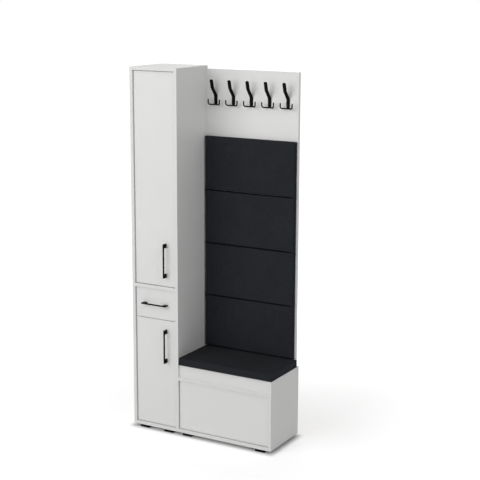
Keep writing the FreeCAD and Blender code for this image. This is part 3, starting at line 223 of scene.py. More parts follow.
def seen_directly(tree):
    """1 where a camera, mirror or glass ray looks, and 0 for light that only bounces."""
    path = add(tree, "LightPath").outputs
    mirror_or_glass = calc(tree, "MAXIMUM", path["Is Glossy Ray"], path["Is Transmission Ray"])
    return calc(tree, "MAXIMUM", path["Is Camera Ray"], mirror_or_glass)


floor_finish = bpy.data.materials.new("pale_floor")
floor_finish.use_nodes = True
tree = floor_finish.node_tree
tree.nodes.clear()
lit = add(tree, "BsdfDiffuse", {"Color": FLOOR_COLOUR})
left_corner, right_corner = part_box("tall_left_side")[0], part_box("bench_right_side")[1]
middle = (left_corner + right_corner) / 2
half_footprint = (right_corner - left_corner) / 2
from_middle = vector(tree, "SUBTRACT", object_place(tree), (middle.x, middle.y, 0))
to_side = vector(tree, "ABSOLUTE", from_middle)
outside = vector(tree, "MAXIMUM", vector(tree, "SUBTRACT", to_side, half_footprint), (0, 0, 0))
distance = add(tree, "VectorMath", {0: outside}, operation="LENGTH").outputs["Value"]
near_glow = spread(tree, distance, 0.0, GLOW_NEAR, UNDER, CLOSE)
far_glow = spread(tree, distance, 0.0, GLOW_FAR - GLOW_NEAR, NEAR, FAR)
glow_here = calc(tree, "MULTIPLY", seen_directly(tree), calc(tree, "ADD", near_glow, far_glow))
glow = add(tree, "Emission", {"Color": grey(1.0), "Strength": glow_here})
both = add(tree, "AddShader", {0: lit.outputs[0], 1: glow.outputs[0]})
add(tree, "OutputMaterial", {"Surface": both.outputs[0]})
floor.data.materials.append(floor_finish)
print("finish", floor_finish.name)

# %% Make the light
AMBIENT = 0.36
LIGHTS = {
    # name: (place, aim, size, watts)
    "front_panel": ((-2.4, -5.3, 3.5), (0.0, 0.0, 0.8), 5.2, 196.0),
    "right_panel": ((3.2, -1.6, 4.3), (-0.1, 0.0, 2.0), 1.6, 33.0),
    "rear_panel": ((-1.0, 3.2, 4.6), (0.0, 0.0, 1.6), 2.6, 40.0),
}

world = bpy.data.worlds.new("studio")
scene.world = world
world.use_nodes = True
tree = world.node_tree
tree.nodes.clear()
strength = calc(tree, "MAXIMUM", seen_directly(tree), AMBIENT)
sky = add(tree, "Background", {"Color": grey(1.0), "Strength": strength})
add(tree, "OutputWorld", {"Surface": sky.outputs[0]})

for name, (place, aim, size, watts) in LIGHTS.items():
    lamp = bpy.data.lights.new(name, "AREA")
    lamp.size = size
    lamp.energy = watts
    holder = bpy.data.objects.new(name, lamp)
    holder.location = place
    holder.visible_camera = False
    holder.rotation_euler = (Vector(aim) - Vector(place)).to_track_quat("-Z", "Y").to_euler()
    scene.collection.objects.link(holder)
print(len(LIGHTS), "lamps")

# %% [markdown]
# ## White boards
#
# The boards are chipboard under a white melamine skin, with plastic tape glued round the edges that
# show. Seen close up, the skin has a fine stipple and a slightly uneven gloss, a hairline shows where
# the tape meets the face, and the rear edges are left raw. A plain white colour has none of that. The
# three effects are groups: one for the skin, one that finds the edges of a board from its own two
# corners, and one for the raw chips.

# %% The skin of a board
# Scales of the slow change of tone, the smears in the gloss, the fine stipple and the pores
TONE_SCALE, SMEAR_SCALE, STIPPLE_SCALE, PORE_SCALE = 2.6, 14.0, 1500.0, 620.0
PORE_DEPTH = 0.5
TONE_RANGE = (0.975, 1.0)
GLOSS_RANGE = (0.38, 0.50)

skin_group, _, leave = new_group(
    "melamine_skin", [], [("Tone", "Float"), ("Gloss", "Float"), ("Stipple", "Float")])
tree = skin_group
coords = object_place(tree)
cloudy = noise_value(tree, coords, TONE_SCALE, detail=3.0)
smears = noise_value(tree, coords, SMEAR_SCALE, detail=4.0)
fine = noise_value(tree, coords, STIPPLE_SCALE)
pores = add(tree, "TexVoronoi", {"Vector": coords, "Scale": PORE_SCALE}).outputs["Distance"]
tree.links.new(spread(tree, cloudy, *TONE_RANGE, *NOISE_MIDDLE), leave["Tone"])
tree.links.new(spread(tree, smears, *GLOSS_RANGE, *NOISE_MIDDLE), leave["Gloss"])
tree.links.new(calc(tree, "ADD", fine, calc(tree, "MULTIPLY", pores, PORE_DEPTH)), leave["Stipple"])
print("group", skin_group.name)

# %% The edges of a board
TAPE_THICKNESS = 0.001
HAIRLINE = 0.00018
RIM_WIDTH = 0.02
RAW_DEPTH = 0.0004
# Added to the distance through the board, so that its flat faces don't count as edges
FAR_AWAY = 10.0

edge_group, entrance, leave = new_group(
    "board_edges",
    [("Low", "Vector", (0, 0, 0)), ("High", "Vector", (1, 1, 1)), ("Flat", "Vector", (0, 0, 1)),
     ("Raw Rear", "Float", 0.0)],
    [("Hairline", "Float"), ("Raw", "Float"), ("Rim", "Float")])
tree = edge_group
coords = object_place(tree)
from_low = vector(tree, "SUBTRACT", coords, entrance["Low"])
from_high = vector(tree, "SUBTRACT", entrance["High"], coords)
nearest = vector(tree, "MINIMUM", from_low, from_high)
in_plane = vector(tree, "ADD", nearest, vector(tree, "SCALE", entrance["Flat"], FAR_AWAY))
parts = add(tree, "SeparateXYZ", {0: in_plane}).outputs
to_edge = calc(tree, "MINIMUM", calc(tree, "MINIMUM", parts["X"], parts["Y"]), parts["Z"])
off_line = calc(tree, "ABSOLUTE", calc(tree, "SUBTRACT", to_edge, TAPE_THICKNESS))
tree.links.new(spread(tree, off_line, 1.0, 0.0, 0.0, HAIRLINE), leave["Hairline"])
tree.links.new(spread(tree, to_edge, 1.0, 0.0, 0.0, RIM_WIDTH), leave["Rim"])
rear = add(tree, "SeparateXYZ", {0: from_high}).outputs["Y"]
at_rear = spread(tree, rear, 1.0, 0.0, RAW_DEPTH / 2, RAW_DEPTH)
tree.links.new(calc(tree, "MULTIPLY", at_rear, entrance["Raw Rear"]), leave["Raw"])
print("group", edge_group.name)

# %% Raw chipboard
CHIP_DARK = (0.150, 0.088, 0.040, 1.0)
CHIP_LIGHT = (0.500, 0.350, 0.200, 1.0)
FLAKE_SCALE, DUST_SCALE = 420.0, 900.0
FLAKE_SHARE = 0.55

chip_group, _, leave = new_group("raw_chips", [], [("Color", "Color"), ("Height", "Float")])
tree = chip_group
coords = object_place(tree)
flakes = add(tree, "TexVoronoi", {"Vector": coords, "Scale": FLAKE_SCALE, "Randomness": 1.0}).outputs
dust = noise_value(tree, coords, DUST_SCALE, detail=4.0)
flake_shade = add(tree, "SeparateColor", {0: flakes["Color"]}).outputs[0]
chip_mix = weighted(tree, flake_shade, dust, FLAKE_SHARE)
tree.links.new(blend_colour(tree, chip_mix, CHIP_DARK, CHIP_LIGHT), leave["Color"])
tree.links.new(calc(tree, "ADD", flakes["Distance"], dust), leave["Height"])
print("group", chip_group.name)

# %% [markdown]
# ### One finish for each board
#
# The boards share these groups, but each has its own corners, and its flat faces look along a different
# axis. So a function makes one material for each board. The white is not pure: a real melamine white
# reflects about four fifths of the light, and leaving room above it keeps the lit fronts from washing
# out.

# %% Helpers for a finish
def new_finish(name, **constants):
    """A material with one Principled shader; gives back the material, its tree and the shader."""
    finish = bpy.data.materials.new(name)
    finish.use_nodes = True
    shader = finish.node_tree.nodes["Principled BSDF"]
    for label, value in constants.items():
        shader.inputs[label.replace("_", " ")].default_value = value
    return finish, finish.node_tree, shader


def join(tree, shader, **sockets):
    for label, socket in sockets.items():
        tree.links.new(socket, shader.inputs[label.replace("_", " ")])


def relief(tree, height, distance, strength=1.0):
    bump = add(tree, "Bump", {"Height": height, "Distance": distance, "Strength": strength})
    return bump.outputs["Normal"]


def dress(node, finish):
    nodes[node].data.materials.clear()
    nodes[node].data.materials.append(finish)


print("finish helpers ready")

# %% Dress the boards
WHITE = (0.800, 0.800, 0.790, 1.0)
HAIRLINE_GREY = (0.620, 0.620, 0.610, 1.0)
RIM_WEAR = 0.02
RAW_ROUGHNESS = 0.9
STIPPLE_HEIGHT = 0.00002
ALONG = {"X": (1, 0, 0), "Y": (0, 1, 0), "Z": (0, 0, 1)}
BOARDS = {
    "X": ("tall_left_side", "tall_right_side", "bench_right_side", "drawer_left_side", "drawer_right_side"),
    "Y": ("wall_fixing_rail", "bench_apron", "back_panel", "upper_door", "lower_door", "drawer_front",
          "drawer_back", "shoe_flap"),
    "Z": ("tall_top_panel", "tall_bottom_panel", "tall_middle_shelf", "drawer_divider",
          "adjustable_shelves", "bench_bottom_panel", "bench_rail_board", "bench_top_board"),
}
RAW_AT_REAR = {
    "tall_left_side", "tall_right_side", "bench_right_side", "bench_top_board", "adjustable_shelves"}


def board_finish(node, axis):
    low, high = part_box(node)
    finish, tree, shader = new_finish("white_board_" + node, Specular_IOR_Level=0.4)
    skin = use_group(tree, skin_group)
    corners = {"Low": low, "High": high, "Flat": ALONG[axis], "Raw Rear": float(node in RAW_AT_REAR)}
    edges = use_group(tree, edge_group, corners)
    chips = use_group(tree, chip_group)
    wear_and_top_shade = calc(tree, "SUBTRACT", skin["Tone"], calc(tree, "MULTIPLY", edges["Rim"], RIM_WEAR))
    white = vector(tree, "SCALE", WHITE[:3], wear_and_top_shade)
    faced = blend_colour(tree, edges["Hairline"], white, HAIRLINE_GREY)
    colour = blend_colour(tree, edges["Raw"], faced, chips["Color"])
    gloss = calc(tree, "MAXIMUM", skin["Gloss"], calc(tree, "MULTIPLY", edges["Raw"], RAW_ROUGHNESS))
    join(tree, shader, Base_Color=colour, Roughness=gloss,
         Normal=relief(tree, skin["Stipple"], STIPPLE_HEIGHT))
    return finish


for axis, names in BOARDS.items():
    for name in names:
        dress(name, board_finish(name, axis))
print(sum(len(names) for names in BOARDS.values()), "boards dressed")

# %% [markdown]
# ## Hardboard
#
# The backs and the drawer's bottom are thin hardboard: white lacquer on the side that shows, bare brown
# fibre on the other. Which side is bare is known from the piece's own corner, so one mask along one
# axis separates them.

# %% Dress the hardboard
FIBRE_DARK = (0.170, 0.105, 0.055, 1.0)
FIBRE_LIGHT = (0.330, 0.220, 0.125, 1.0)
FIBRE_SCALE, STAIN_SCALE = 700.0, 9.0
FIBRE_SHARE = 0.7
FIBRE_SHARPNESS = 0.7
FIBRE_HEIGHT = 0.00005
BARE_DEPTH = 0.0006
BARE_ROUGHNESS = 0.8
HARDBOARDS = (
    # name of the piece, the axis through it, and whether the bare side is at its high end
    ("tall_back_board", "Y", True),
    ("bench_back_board", "Y", True),
    ("drawer_bottom", "Z", False),
)


def hardboard_finish(node, axis, bare_high):
    low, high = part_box(node)
    index = "XYZ".index(axis)
    finish, tree, shader = new_finish("hardboard_" + node, Specular_IOR_Level=0.35)
    coords = object_place(tree)
    place = add(tree, "SeparateXYZ", {0: coords}).outputs[axis]
    bare_face = high[index] if bare_high else low[index]
    depth = calc(tree, "ABSOLUTE", calc(tree, "SUBTRACT", place, bare_face))
    bare = spread(tree, depth, 1.0, 0.0, BARE_DEPTH / 2, BARE_DEPTH)
    fibres = noise_value(tree, coords, FIBRE_SCALE, detail=6.0, Roughness=FIBRE_SHARPNESS)
    stains = noise_value(tree, coords, STAIN_SCALE, detail=3.0)
    brown_mix = spread(tree, weighted(tree, fibres, stains, FIBRE_SHARE), 0.0, 1.0, *NOISE_MIDDLE)
    brown = blend_colour(tree, brown_mix, FIBRE_DARK, FIBRE_LIGHT)
    skin = use_group(tree, skin_group)
    white = vector(tree, "SCALE", WHITE[:3], skin["Tone"])
    gloss = calc(tree, "MAXIMUM", skin["Gloss"], calc(tree, "MULTIPLY", bare, BARE_ROUGHNESS))
    join(tree, shader, Base_Color=blend_colour(tree, bare, white, brown), Roughness=gloss,
         Normal=relief(tree, fibres, FIBRE_HEIGHT))
    return finish


for node, axis, bare_high in HARDBOARDS:
    dress(node, hardboard_finish(node, axis, bare_high))
print(len(HARDBOARDS), "hardboards dressed")

# %% [markdown]
# ## Metal and plastic
#
# The handles and hooks are powder coated: a matt black skin with a very fine orange peel. The feet and
# the shoe rack are moulded in black plastic with a spark-eroded texture, and the runners, pins, screws
# and cams are zinc plated steel, which is cloudy and lightly brushed. Coat and plastic differ only in
# scale and depth, so they share one group, and the steel has its own nodes.

# %% Fine texture of coats and mouldings
PATCH_SCALE = 22.0
CELL_DEPTH = 0.4
SPECK_START, SPECK_FULL = 0.62, 0.78

grain_group, entrance, leave = new_group(
    "fine_texture", [("Scale", "Float", 1500.0)],
    [("Height", "Float"), ("Patch", "Float"), ("Speck", "Float")])
tree = grain_group
coords = object_place(tree)
peel = noise_value(tree, coords, entrance["Scale"])
cells = add(tree, "TexVoronoi", {"Vector": coords, "Scale": entrance["Scale"]}).outputs["Distance"]
patches = noise_value(tree, coords, PATCH_SCALE, detail=3.0)
tree.links.new(calc(tree, "ADD", peel, calc(tree, "MULTIPLY", cells, CELL_DEPTH)), leave["Height"])
tree.links.new(patches, leave["Patch"])
tree.links.new(spread(tree, peel, 0.0, 1.0, SPECK_START, SPECK_FULL), leave["Speck"])
print("group", grain_group.name)

# %% Coats and mouldings
TEXTURED = {
    # name: (scale of its texture, dark and light colour, least and most roughness, texture height)
    "black_powder_coat": (1900.0, grey(0.0012), grey(0.0040), 0.46, 0.60, 0.00003),
    "black_moulding": (1300.0, grey(0.0010), grey(0.0035), 0.50, 0.64, 0.00005),
    "grey_moulding": (1300.0, grey(0.300), grey(0.360), 0.45, 0.58, 0.00004),
}
PATCH_SHARE = 0.6


def textured_finish(name):
    scale, dark, light, smooth, rough, height = TEXTURED[name]
    finish, tree, shader = new_finish(name, Specular_IOR_Level=0.06)
    grain = use_group(tree, grain_group, {"Scale": scale})
    tone = weighted(tree, grain["Patch"], grain["Speck"], PATCH_SHARE)
    join(tree, shader, Base_Color=blend_colour(tree, tone, dark, light),
         Roughness=spread(tree, grain["Patch"], smooth, rough, *NOISE_MIDDLE),
         Normal=relief(tree, grain["Height"], height))
    return finish


powder_coat = textured_finish("black_powder_coat")
black_moulding = textured_finish("black_moulding")
grey_moulding = textured_finish("grey_moulding")
print(len(TEXTURED), "textured finishes")

# %% Zinc plated steel
ZINC_DARK = (0.430, 0.440, 0.455, 1.0)
ZINC_LIGHT = (0.660, 0.665, 0.670, 1.0)
ZINC_ROUGHNESS = (0.28, 0.46)
BRUSH_STRETCH = (900.0, 30.0, 900.0)
SPANGLE_SCALE = 160.0
SPANGLE_SHARE = 0.6
SCRATCH_HEIGHT = 0.00001

zinc, tree, shader = new_finish("zinc_steel", Metallic=1.0)
coords = object_place(tree)
brushed = add(tree, "Mapping", {"Vector": coords, "Scale": BRUSH_STRETCH}).outputs[0]
scratches = noise_value(tree, brushed, 1.0, detail=3.0)
spangle = noise_value(tree, coords, SPANGLE_SCALE)
cloud = weighted(tree, spangle, scratches, SPANGLE_SHARE)
zinc_mix = spread(tree, cloud, 0.0, 1.0, *NOISE_MIDDLE)
join(tree, shader, Base_Color=blend_colour(tree, zinc_mix, ZINC_DARK, ZINC_LIGHT),
     Roughness=spread(tree, cloud, *ZINC_ROUGHNESS, *NOISE_MIDDLE),
     Normal=relief(tree, scratches, SCRATCH_HEIGHT))
print("finish", zinc.name)

# %% Raw plywood for the boards inside the cushions
PLY_DARK = (0.360, 0.220, 0.105, 1.0)
PLY_LIGHT = (0.560, 0.390, 0.215, 1.0)
PLY_ROUGHNESS = (0.60, 0.75)
GRAIN_STRETCH = (4.0, 160.0, 160.0)
GRAIN_BEND = 0.6
RING_SHARE = 0.75
WOOD_PORE_SCALE = 6.0
WOOD_PORE_HEIGHT = 0.00004

plywood, tree, shader = new_finish("raw_plywood", Specular_IOR_Level=0.25)
long_grain = add(tree, "Mapping", {"Vector": object_place(tree), "Scale": GRAIN_STRETCH}).outputs[0]
rings = noise_value(tree, long_grain, 1.0, detail=5.0, Distortion=GRAIN_BEND)
wood_pores = noise_value(tree, long_grain, WOOD_PORE_SCALE)
wood_mix = spread(tree, weighted(tree, rings, wood_pores, RING_SHARE), 0.0, 1.0, *NOISE_MIDDLE)
join(tree, shader, Base_Color=blend_colour(tree, wood_mix, PLY_DARK, PLY_LIGHT),
     Roughness=spread(tree, wood_pores, *PLY_ROUGHNESS),
     Normal=relief(tree, wood_pores, WOOD_PORE_HEIGHT))
print("finish", plywood.name)

# %% Dress the fittings
FINISH_OF_SLOT = {
    "black_metal": powder_coat,
    "zinc_steel": zinc,
    "black_plastic": black_moulding,
    "grey_plastic": grey_moulding,
    "plywood": plywood,
}
fittings = [part for part in record["subparts"] if part["material_slot"] in FINISH_OF_SLOT]
for part in fittings:
    dress(part["node"], FINISH_OF_SLOT[part["material_slot"]])
print(len(fittings), "fittings dressed")

# %% [markdown]
# ## Upholstery cloth
#
# The cloth is a charcoal plain weave. Two sets of yarn cross over and under each other, and where both
# are near their tops the cloth is high, so the product of two sine waves is a fair picture of its
# height. The pattern has to lie flat on the front, the top and the sides of a cushion alike, so it is
# worked out for the three main planes and mixed by the direction that the surface faces. Yarns are
# never even: noise drawn out along each direction makes the slubs, and a broad noise the slow change of
# shade that used cloth has. A face that looks up is painted darker: painted shade for the top of the
# seat, which gets less light than its front.

# %% The weave in one plane
YARN_PITCH = 0.0013

plane_group, entrance, leave = new_group(
    "weave_plane", [("Across", "Float", 0.0), ("Along", "Float", 0.0)], [("Height", "Float")])
tree = plane_group
waves = []
for label in ("Across", "Along"):
    waves.append(calc(tree, "SINE", calc(tree, "MULTIPLY", entrance[label], math.pi / YARN_PITCH)))
# The product lies between -1 and 1, and the height between 0 and 1
tree.links.new(calc(tree, "MULTIPLY_ADD", calc(tree, "MULTIPLY", *waves), 0.5, 0.5), leave["Height"])
print("group", plane_group.name)

# %% The weave on all sides
WOBBLE_SCALE = 260.0
FACING_POWER = 4.0
SLUB_LONG, SLUB_SHORT = 60.0, 900.0
SLUB_START, SLUB_FULL = 0.38, 0.62
SHADE_SCALE = 7.0
SHADE_RANGE = (0.92, 1.06)

weave_group, _, leave = new_group(
    "plain_weave", [], [("Height", "Float"), ("Slub", "Float"), ("Shade", "Float")])
tree = weave_group
coordinates = add(tree, "TexCoord").outputs
coords = coordinates["Object"]
wobble = add(tree, "TexNoise", {"Vector": coords, "Scale": WOBBLE_SCALE, "Detail": 1.0}).outputs["Color"]
loose = vector(tree, "ADD", coords, vector(tree, "SCALE", wobble, YARN_PITCH / 2))
place = add(tree, "SeparateXYZ", {0: loose}).outputs
facing = add(tree, "SeparateXYZ", {0: vector(tree, "ABSOLUTE", coordinates["Normal"])}).outputs
height = 0.0
for axis, across, along in (("X", "Y", "Z"), ("Y", "X", "Z"), ("Z", "X", "Y")):
    plane = use_group(tree, plane_group, {"Across": place[across], "Along": place[along]})["Height"]
    weight = calc(tree, "POWER", facing[axis], FACING_POWER)
    height = calc(tree, "ADD", height, calc(tree, "MULTIPLY", plane, weight))
slubs = 0.0
for axis in range(3):
    stretch = [SLUB_SHORT] * 3
    stretch[axis] = SLUB_LONG
    drawn_out = add(tree, "Mapping", {"Vector": coords, "Scale": stretch}).outputs[0]
    slubs = calc(tree, "ADD", slubs, noise_value(tree, drawn_out, 1.0))
slub = calc(tree, "MULTIPLY", slubs, 1 / 3)
shade = noise_value(tree, coords, SHADE_SCALE, detail=3.0)
tree.links.new(height, leave["Height"])
tree.links.new(spread(tree, slub, 0.0, 1.0, SLUB_START, SLUB_FULL), leave["Slub"])
tree.links.new(spread(tree, shade, *SHADE_RANGE, *NOISE_MIDDLE), leave["Shade"])
print("group", weave_group.name)

# %% The cloth
CLOTH_DARK = (0.0049, 0.0054, 0.0067, 1.0)
CLOTH_LIGHT = (0.0362, 0.0391, 0.0464, 1.0)
CLOTH_ROUGHNESS = (0.80, 0.95)
# Share of the weave's height in the cloth's tone, which paints shade into the hollows between the yarns;
# the rest is real slub
WEAVE_SHARE = 0.5
YARN_HEIGHT = 0.00025
YARN_STRENGTH = 0.9
# Share of its brightness that cloth keeps on a face that looks up, where it is painted in shade
PAINTED_TOP_SHADE = 0.74
# How far up a face looks where that starts, and where it is full
TOP_SHADE_START, TOP_SHADE_FULL = 0.70, 0.97

cloth, tree, shader = new_finish(
    "charcoal_cloth", Specular_IOR_Level=0.08, Sheen_Weight=0.02, Sheen_Roughness=0.4)
weave = use_group(tree, weave_group)
# The tone is partly real slubs and partly painted shade in the hollows of the weave
yarn = weighted(tree, weave["Height"], weave["Slub"], WEAVE_SHARE)
slub_tone_and_hollow_shade = blend_colour(tree, yarn, CLOTH_DARK, CLOTH_LIGHT)
# Painted shade: cloth on faces that look up is made darker
upward = add(tree, "SeparateXYZ", {0: add(tree, "TexCoord").outputs["Normal"]}).outputs["Z"]
wear_and_top_shade = spread(tree, upward, 1.0, PAINTED_TOP_SHADE, TOP_SHADE_START, TOP_SHADE_FULL)
shaded = vector(tree, "SCALE", slub_tone_and_hollow_shade, calc(tree, "MULTIPLY", weave["Shade"], wear_and_top_shade))
join(tree, shader, Base_Color=shaded, Roughness=spread(tree, weave["Slub"], *CLOTH_ROUGHNESS),
     Normal=relief(tree, weave["Height"], YARN_HEIGHT, YARN_STRENGTH))
print("finish", cloth.name)

# %% [markdown]
# ## Cushions
#
# The seat and the four back panels are foam on a board, with cloth pulled tight over it and fixed
# behind. Such a pad is flat only where it rests on its board. The cloth rounds its edges, pulls in its
# sides between the corners and leaves a low crown in the middle. Modelling all that by hand looks
# stiff, so each pad starts as a plain block with bevelled edges, a little too small, and a short cloth
# simulation with air pressure inside blows it out. The points at the board are pinned. No point may
# move further than a set distance, which is smaller near the rim, because tight cloth over foam hardly
# bulges there. Where two pads meet, the sides that pull in leave the dark line that is seen between
# them; it closes again at the corners, which keep their full size.

# %% A block for the cushion
GRID_STEP = 0.010
CUT_TOLERANCE = GRID_STEP / 100
START_INSET = 0.0003
START_DROP = 0.0026
BOARD_EDGE = 0.0020
BEVEL_STEPS = 4
# Edges above this share of the height belong to the rim
RIM_LEVEL = 0.99


def round_edges(bm, edges, offset):
    bmesh.ops.bevel(
        bm, geom=edges, offset=offset, affect="EDGES", segments=BEVEL_STEPS, profile=0.5, material=-1,
        clamp_overlap=True)


def cushion_block(name, width, depth, thickness, corner, edge):
    """A block on the XY plane with rounded upright corners and a rounded upper rim, cut into a grid."""
    bm = bmesh.new()
    bmesh.ops.create_cube(bm, size=1.0)
    size = Vector((width - 2 * START_INSET, depth - 2 * START_INSET, thickness - START_DROP))
    bmesh.ops.scale(bm, verts=bm.verts, vec=size)
    bmesh.ops.translate(bm, verts=bm.verts, vec=(0, 0, size.z / 2))
    round_edges(bm, [e for e in bm.edges if abs(e.verts[0].co.z - e.verts[1].co.z) > size.z / 2], corner)
    round_edges(bm, [e for e in bm.edges if all(v.co.z > size.z * RIM_LEVEL for v in e.verts)], edge)
    for axis, first, last in ((0, -size.x / 2, size.x / 2), (1, -size.y / 2, size.y / 2), (2, 0.0, size.z)):
        count = round((last - first) / GRID_STEP)
        cuts = [first + (last - first) * number / count for number in range(1, count)]
        for cut in cuts + [BOARD_EDGE] * (axis == 2):
            spot, way = Vector((0, 0, 0)), Vector((0, 0, 0))
            spot[axis], way[axis] = cut, 1
            everything = bm.verts[:] + bm.edges[:] + bm.faces[:]
            bmesh.ops.bisect_plane(bm, geom=everything, plane_co=spot, plane_no=way, dist=CUT_TOLERANCE)
    return as_object(name, bm)


print("cushion block ready")

# %% Blow the cushion out
PRESSURE = 4.0
FRAMES = 20
PIN_HEIGHT = 0.0015


def apply_modifiers(piece):
    """Replace a piece's mesh by what its modifiers make of it."""
    made = bpy.data.meshes.new_from_object(piece.evaluated_get(bpy.context.evaluated_depsgraph_get()))
    piece.modifiers.clear()
    piece.data = made


def blow_out(block):
    """Run a short cloth simulation with pressure and give back the block's points before and after."""
    start = [v.co.copy() for v in block.data.vertices]
    pinned = block.vertex_groups.new(name="at_board")
    pinned.add([i for i, point in enumerate(start) if point.z < PIN_HEIGHT], 1.0, "REPLACE")
    cloth_modifier = block.modifiers.new("cloth", "CLOTH")
    settings = cloth_modifier.settings
    settings.quality = 5
    settings.mass = 0.3
    settings.tension_stiffness = settings.compression_stiffness = 15.0
    settings.shear_stiffness = 8.0
    settings.bending_stiffness = 2.0
    settings.use_pressure = True
    settings.uniform_pressure_force = PRESSURE
    settings.vertex_group_mass = pinned.name
    settings.effector_weights.gravity = 0.0
    cloth_modifier.point_cache.frame_start = 1
    cloth_modifier.point_cache.frame_end = FRAMES
    for number in range(1, FRAMES + 1):
        scene.frame_set(number)
    apply_modifiers(block)
    scene.frame_set(1)
    return start, [v.co.copy() for v in block.data.vertices]


print("simulation of", FRAMES, "frames")

# %% Shape the cushion
# Share of the crown that the swelling may reach at the rim, and how steeply it rises from there
RIM_SHARE = 0.25
DOME_POWER = 0.6
# Share of the crown that is added to the swelling in the middle
CROWN_LIFT = 0.5
# How sharply the pull of a side ends at the corners, and how far it reaches into the pad
CORNER_POWER = 12
SIDE_POWER = 8
# Share of the thickness above the board at which a side starts to pull in, and where it is pulled in fully
PULL_START, PULL_FULL = 0.10, 0.40
# How far the cloth may stand above the model's pad
PROUD = 0.0020
# Height and length of the slow ripples and of the small ones
RIPPLES = ((0.00050, 0.110), (0.00022, 0.038))


def held(value, low=0.0, high=1.0):
    return max(low, min(high, value))


def shape_cushion(block, width, depth, thickness, crown, pull, seed, low_pull=None):
    """Limit the swelling, pull the sides in between the corners and add the slow ripple of stretched cloth.

    Where low_pull is given, the side towards -Y pulls in by that much, corners and all.
    """
    start, swollen = blow_out(block)
    half = Vector((width / 2, depth / 2))
    for vertex, before, after in zip(block.data.vertices, start, swollen):
        along_x, along_y = abs(before.x) / half.x, abs(before.y) / half.y
        dome = (max(0.0, 1 - along_x ** 2) * max(0.0, 1 - along_y ** 2)) ** DOME_POWER
        reach = crown * (RIM_SHARE + (1 - RIM_SHARE) * dome)
        moved = after - before
        if moved.length > reach:
            moved = moved.normalized() * reach
        point = before + moved
        lift = held(before.z / thickness)
        point.z += lift * crown * dome * CROWN_LIFT
        waist = held((lift - PULL_START) / (PULL_FULL - PULL_START))
        pull_x = pull * (1 - along_y ** CORNER_POWER)
        pull_y = low_pull if low_pull and before.y < 0 else pull * (1 - along_x ** CORNER_POWER)
        point.x -= math.copysign(pull_x * waist * along_x ** SIDE_POWER, before.x)
        point.y -= math.copysign(pull_y * waist * along_y ** SIDE_POWER, before.y)
        for ripple, wave in RIPPLES:
            point.z += lift * ripple * noise.noise(Vector((before.x, before.y, seed)) / wave)
        point.x = held(point.x, -half.x, half.x)
        point.y = held(point.y, -half.y, half.y)
        point.z = held(point.z, 0.0, thickness + PROUD)
        vertex.co = point
    block.data.shade_smooth()


print("cushion shaping ready")

# %% Put a cushion in its place
def finish_cushion(block, node, matrix):
    """Put the cushion in its place and let it stand for its solid."""
    block.data.transform(matrix)
    smooth = block.modifiers.new("subdivision", "SUBSURF")
    smooth.levels = smooth.render_levels = 1
    block.data.materials.clear()
    block.data.materials.append(cloth)
    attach(block, "carcass")
    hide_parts(node)


print("cushion placing ready")

# %% The seat
SEAT_CORNER = 0.003
SEAT_EDGE = 0.0048
SEAT_CROWN = 0.0030
SEAT_PULL = 0.0008

low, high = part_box("seat_pad")
size = high - low
seat = cushion_block("seat_cushion", *size, SEAT_CORNER, SEAT_EDGE)
shape_cushion(seat, *size, SEAT_CROWN, SEAT_PULL, 0.0)
finish_cushion(seat, "seat_pad", Matrix.Translation(((low.x + high.x) / 2, (low.y + high.y) / 2, low.z)))
print("seat", len(seat.data.vertices), "points")

# %% The four back pads
BACK_PADS = ("back_pad_1", "back_pad_2", "back_pad_3", "back_pad_4")
PAD_CORNER = 0.002
PAD_EDGE = 0.0045
PAD_CROWN = 0.0030
PAD_PULL = 0.0040
# The lowest pad reaches down behind the seat's rim, and its lower side pulls in further
SEAT_RIM_DROP = 0.0048
LOW_PULL = 0.0140

boxes = [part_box(node) for node in BACK_PADS]
meetings = [(below[1].z + above[0].z) / 2 for below, above in zip(boxes, boxes[1:])]
limits = [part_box("seat_pad")[1].z - SEAT_RIM_DROP, *meetings, boxes[-1][1].z]
upright = Matrix.Rotation(math.radians(90), 4, "X")
for number, node in enumerate(BACK_PADS, start=1):
    low, high = boxes[number - 1]
    bottom, top = limits[number - 1:number + 1]
    size = Vector((high.x - low.x, top - bottom, high.y - low.y))
    pad = cushion_block(f"back_cushion_{number}", *size, PAD_CORNER, PAD_EDGE)
    shape_cushion(pad, *size, PAD_CROWN, PAD_PULL, float(number), LOW_PULL if number == 1 else None)
    at_panel = Matrix.Translation(((low.x + high.x) / 2, high.y, (bottom + top) / 2))
    finish_cushion(pad, node, at_panel @ upright)
print(len(BACK_PADS), "back cushions, each about", round(size.y * 1000), "mm high")

# %% [markdown]
# ## Hook screws
#
# The screws that hold the hooks are in plain sight. The model has plain round heads for them, and real
# ones are domed, with a cross for the screwdriver. A dome is a quarter arc spun round its axis, and two
# slim blocks cut the cross out of it. One screw is made this way and then copied to every place.

# %% One screw
HEAD_RADIUS = 0.004
HEAD_HEIGHT = 0.0026
SHAFT_RADIUS = 0.002
SHAFT_LENGTH = 0.012
ARC_STEPS = 6
ROUND_STEPS = 24
MERGE_DISTANCE = HEAD_RADIUS / 1000


def spun_screw():
    """A screw along -Z with its head's underside at zero: a profile in the XZ plane, spun round Z."""
    bm = bmesh.new()
    outline = [(0.0, -SHAFT_LENGTH), (SHAFT_RADIUS, -SHAFT_LENGTH), (SHAFT_RADIUS, 0.0), (HEAD_RADIUS, 0.0)]
    for step in range(1, ARC_STEPS + 1):
        turn = math.pi / 2 * step / ARC_STEPS
        outline.append((HEAD_RADIUS * math.cos(turn), HEAD_HEIGHT * math.sin(turn)))
    points = [bm.verts.new((x, 0, z)) for x, z in outline]
    edges = [bm.edges.new(pair) for pair in zip(points, points[1:])]
    bmesh.ops.spin(
        bm, geom=points + edges, cent=(0, 0, 0), axis=(0, 0, 1), angle=2 * math.pi, steps=ROUND_STEPS,
        use_merge=True)
    bmesh.ops.remove_doubles(bm, verts=bm.verts, dist=MERGE_DISTANCE)
    bmesh.ops.recalc_face_normals(bm, faces=bm.faces)
    return bm


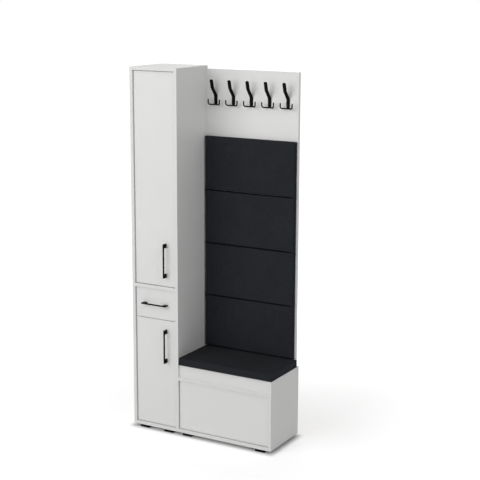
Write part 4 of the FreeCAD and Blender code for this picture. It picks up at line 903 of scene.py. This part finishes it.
screw = as_object("one_screw", spun_screw())
print("screw", len(screw.data.polygons), "faces")

# %% The cross in its head
CROSS_WIDTH = 0.0010
CROSS_LENGTH = 0.0046
CROSS_DEPTH = 0.0014


def cross_block():
    bm = bmesh.new()
    for length, width in ((CROSS_LENGTH, CROSS_WIDTH), (CROSS_WIDTH, CROSS_LENGTH)):
        made = bmesh.ops.create_cube(bm, size=1.0)["verts"]
        bmesh.ops.scale(bm, verts=made, vec=(length, width, 2 * CROSS_DEPTH))
        bmesh.ops.translate(bm, verts=made, vec=(0, 0, HEAD_HEIGHT))
    return bm


cross = as_object("one_cross", cross_block())
cutting = screw.modifiers.new("cross", "BOOLEAN")
cutting.object = cross
cutting.operation = "DIFFERENCE"
cutting.use_self = True
apply_modifiers(screw)
bpy.data.objects.remove(cross)
print("screw with its cross", len(screw.data.polygons), "faces")

# %% Copies of the screw
HOOKS = ("coat_hook_1", "coat_hook_2", "coat_hook_3", "coat_hook_4", "coat_hook_5")
# Height of the plain heads in the model
PLAIN_HEAD = 0.0024
# Degrees for each point made before, so that the crosses stand at different angles
TURN_STEP = 37.0

screw_low, screw_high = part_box("hook_screws")
quarter = Matrix.Rotation(math.radians(90), 4, "X")
bm = bmesh.new()
for hook in HOOKS:
    hook_low, hook_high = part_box(hook)
    for height in (screw_low.z + HEAD_RADIUS, screw_high.z - HEAD_RADIUS):
        before = set(bm.verts)
        bm.from_mesh(screw.data)
        new = [v for v in bm.verts if v not in before]
        own_turn = Matrix.Rotation(math.radians(TURN_STEP * len(before) % 90), 4, "Z")
        spot = Vector(((hook_low.x + hook_high.x) / 2, screw_low.y + PLAIN_HEAD, height))
        bmesh.ops.transform(bm, matrix=Matrix.Translation(spot) @ quarter @ own_turn, verts=new)
hook_screws = as_object("hook_screw_heads", bm)
bpy.data.objects.remove(screw)
hook_screws.data.materials.clear()
hook_screws.data.materials.append(powder_coat)
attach(hook_screws, "carcass")
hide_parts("hook_screws")
print(2 * len(HOOKS), "hook screws")
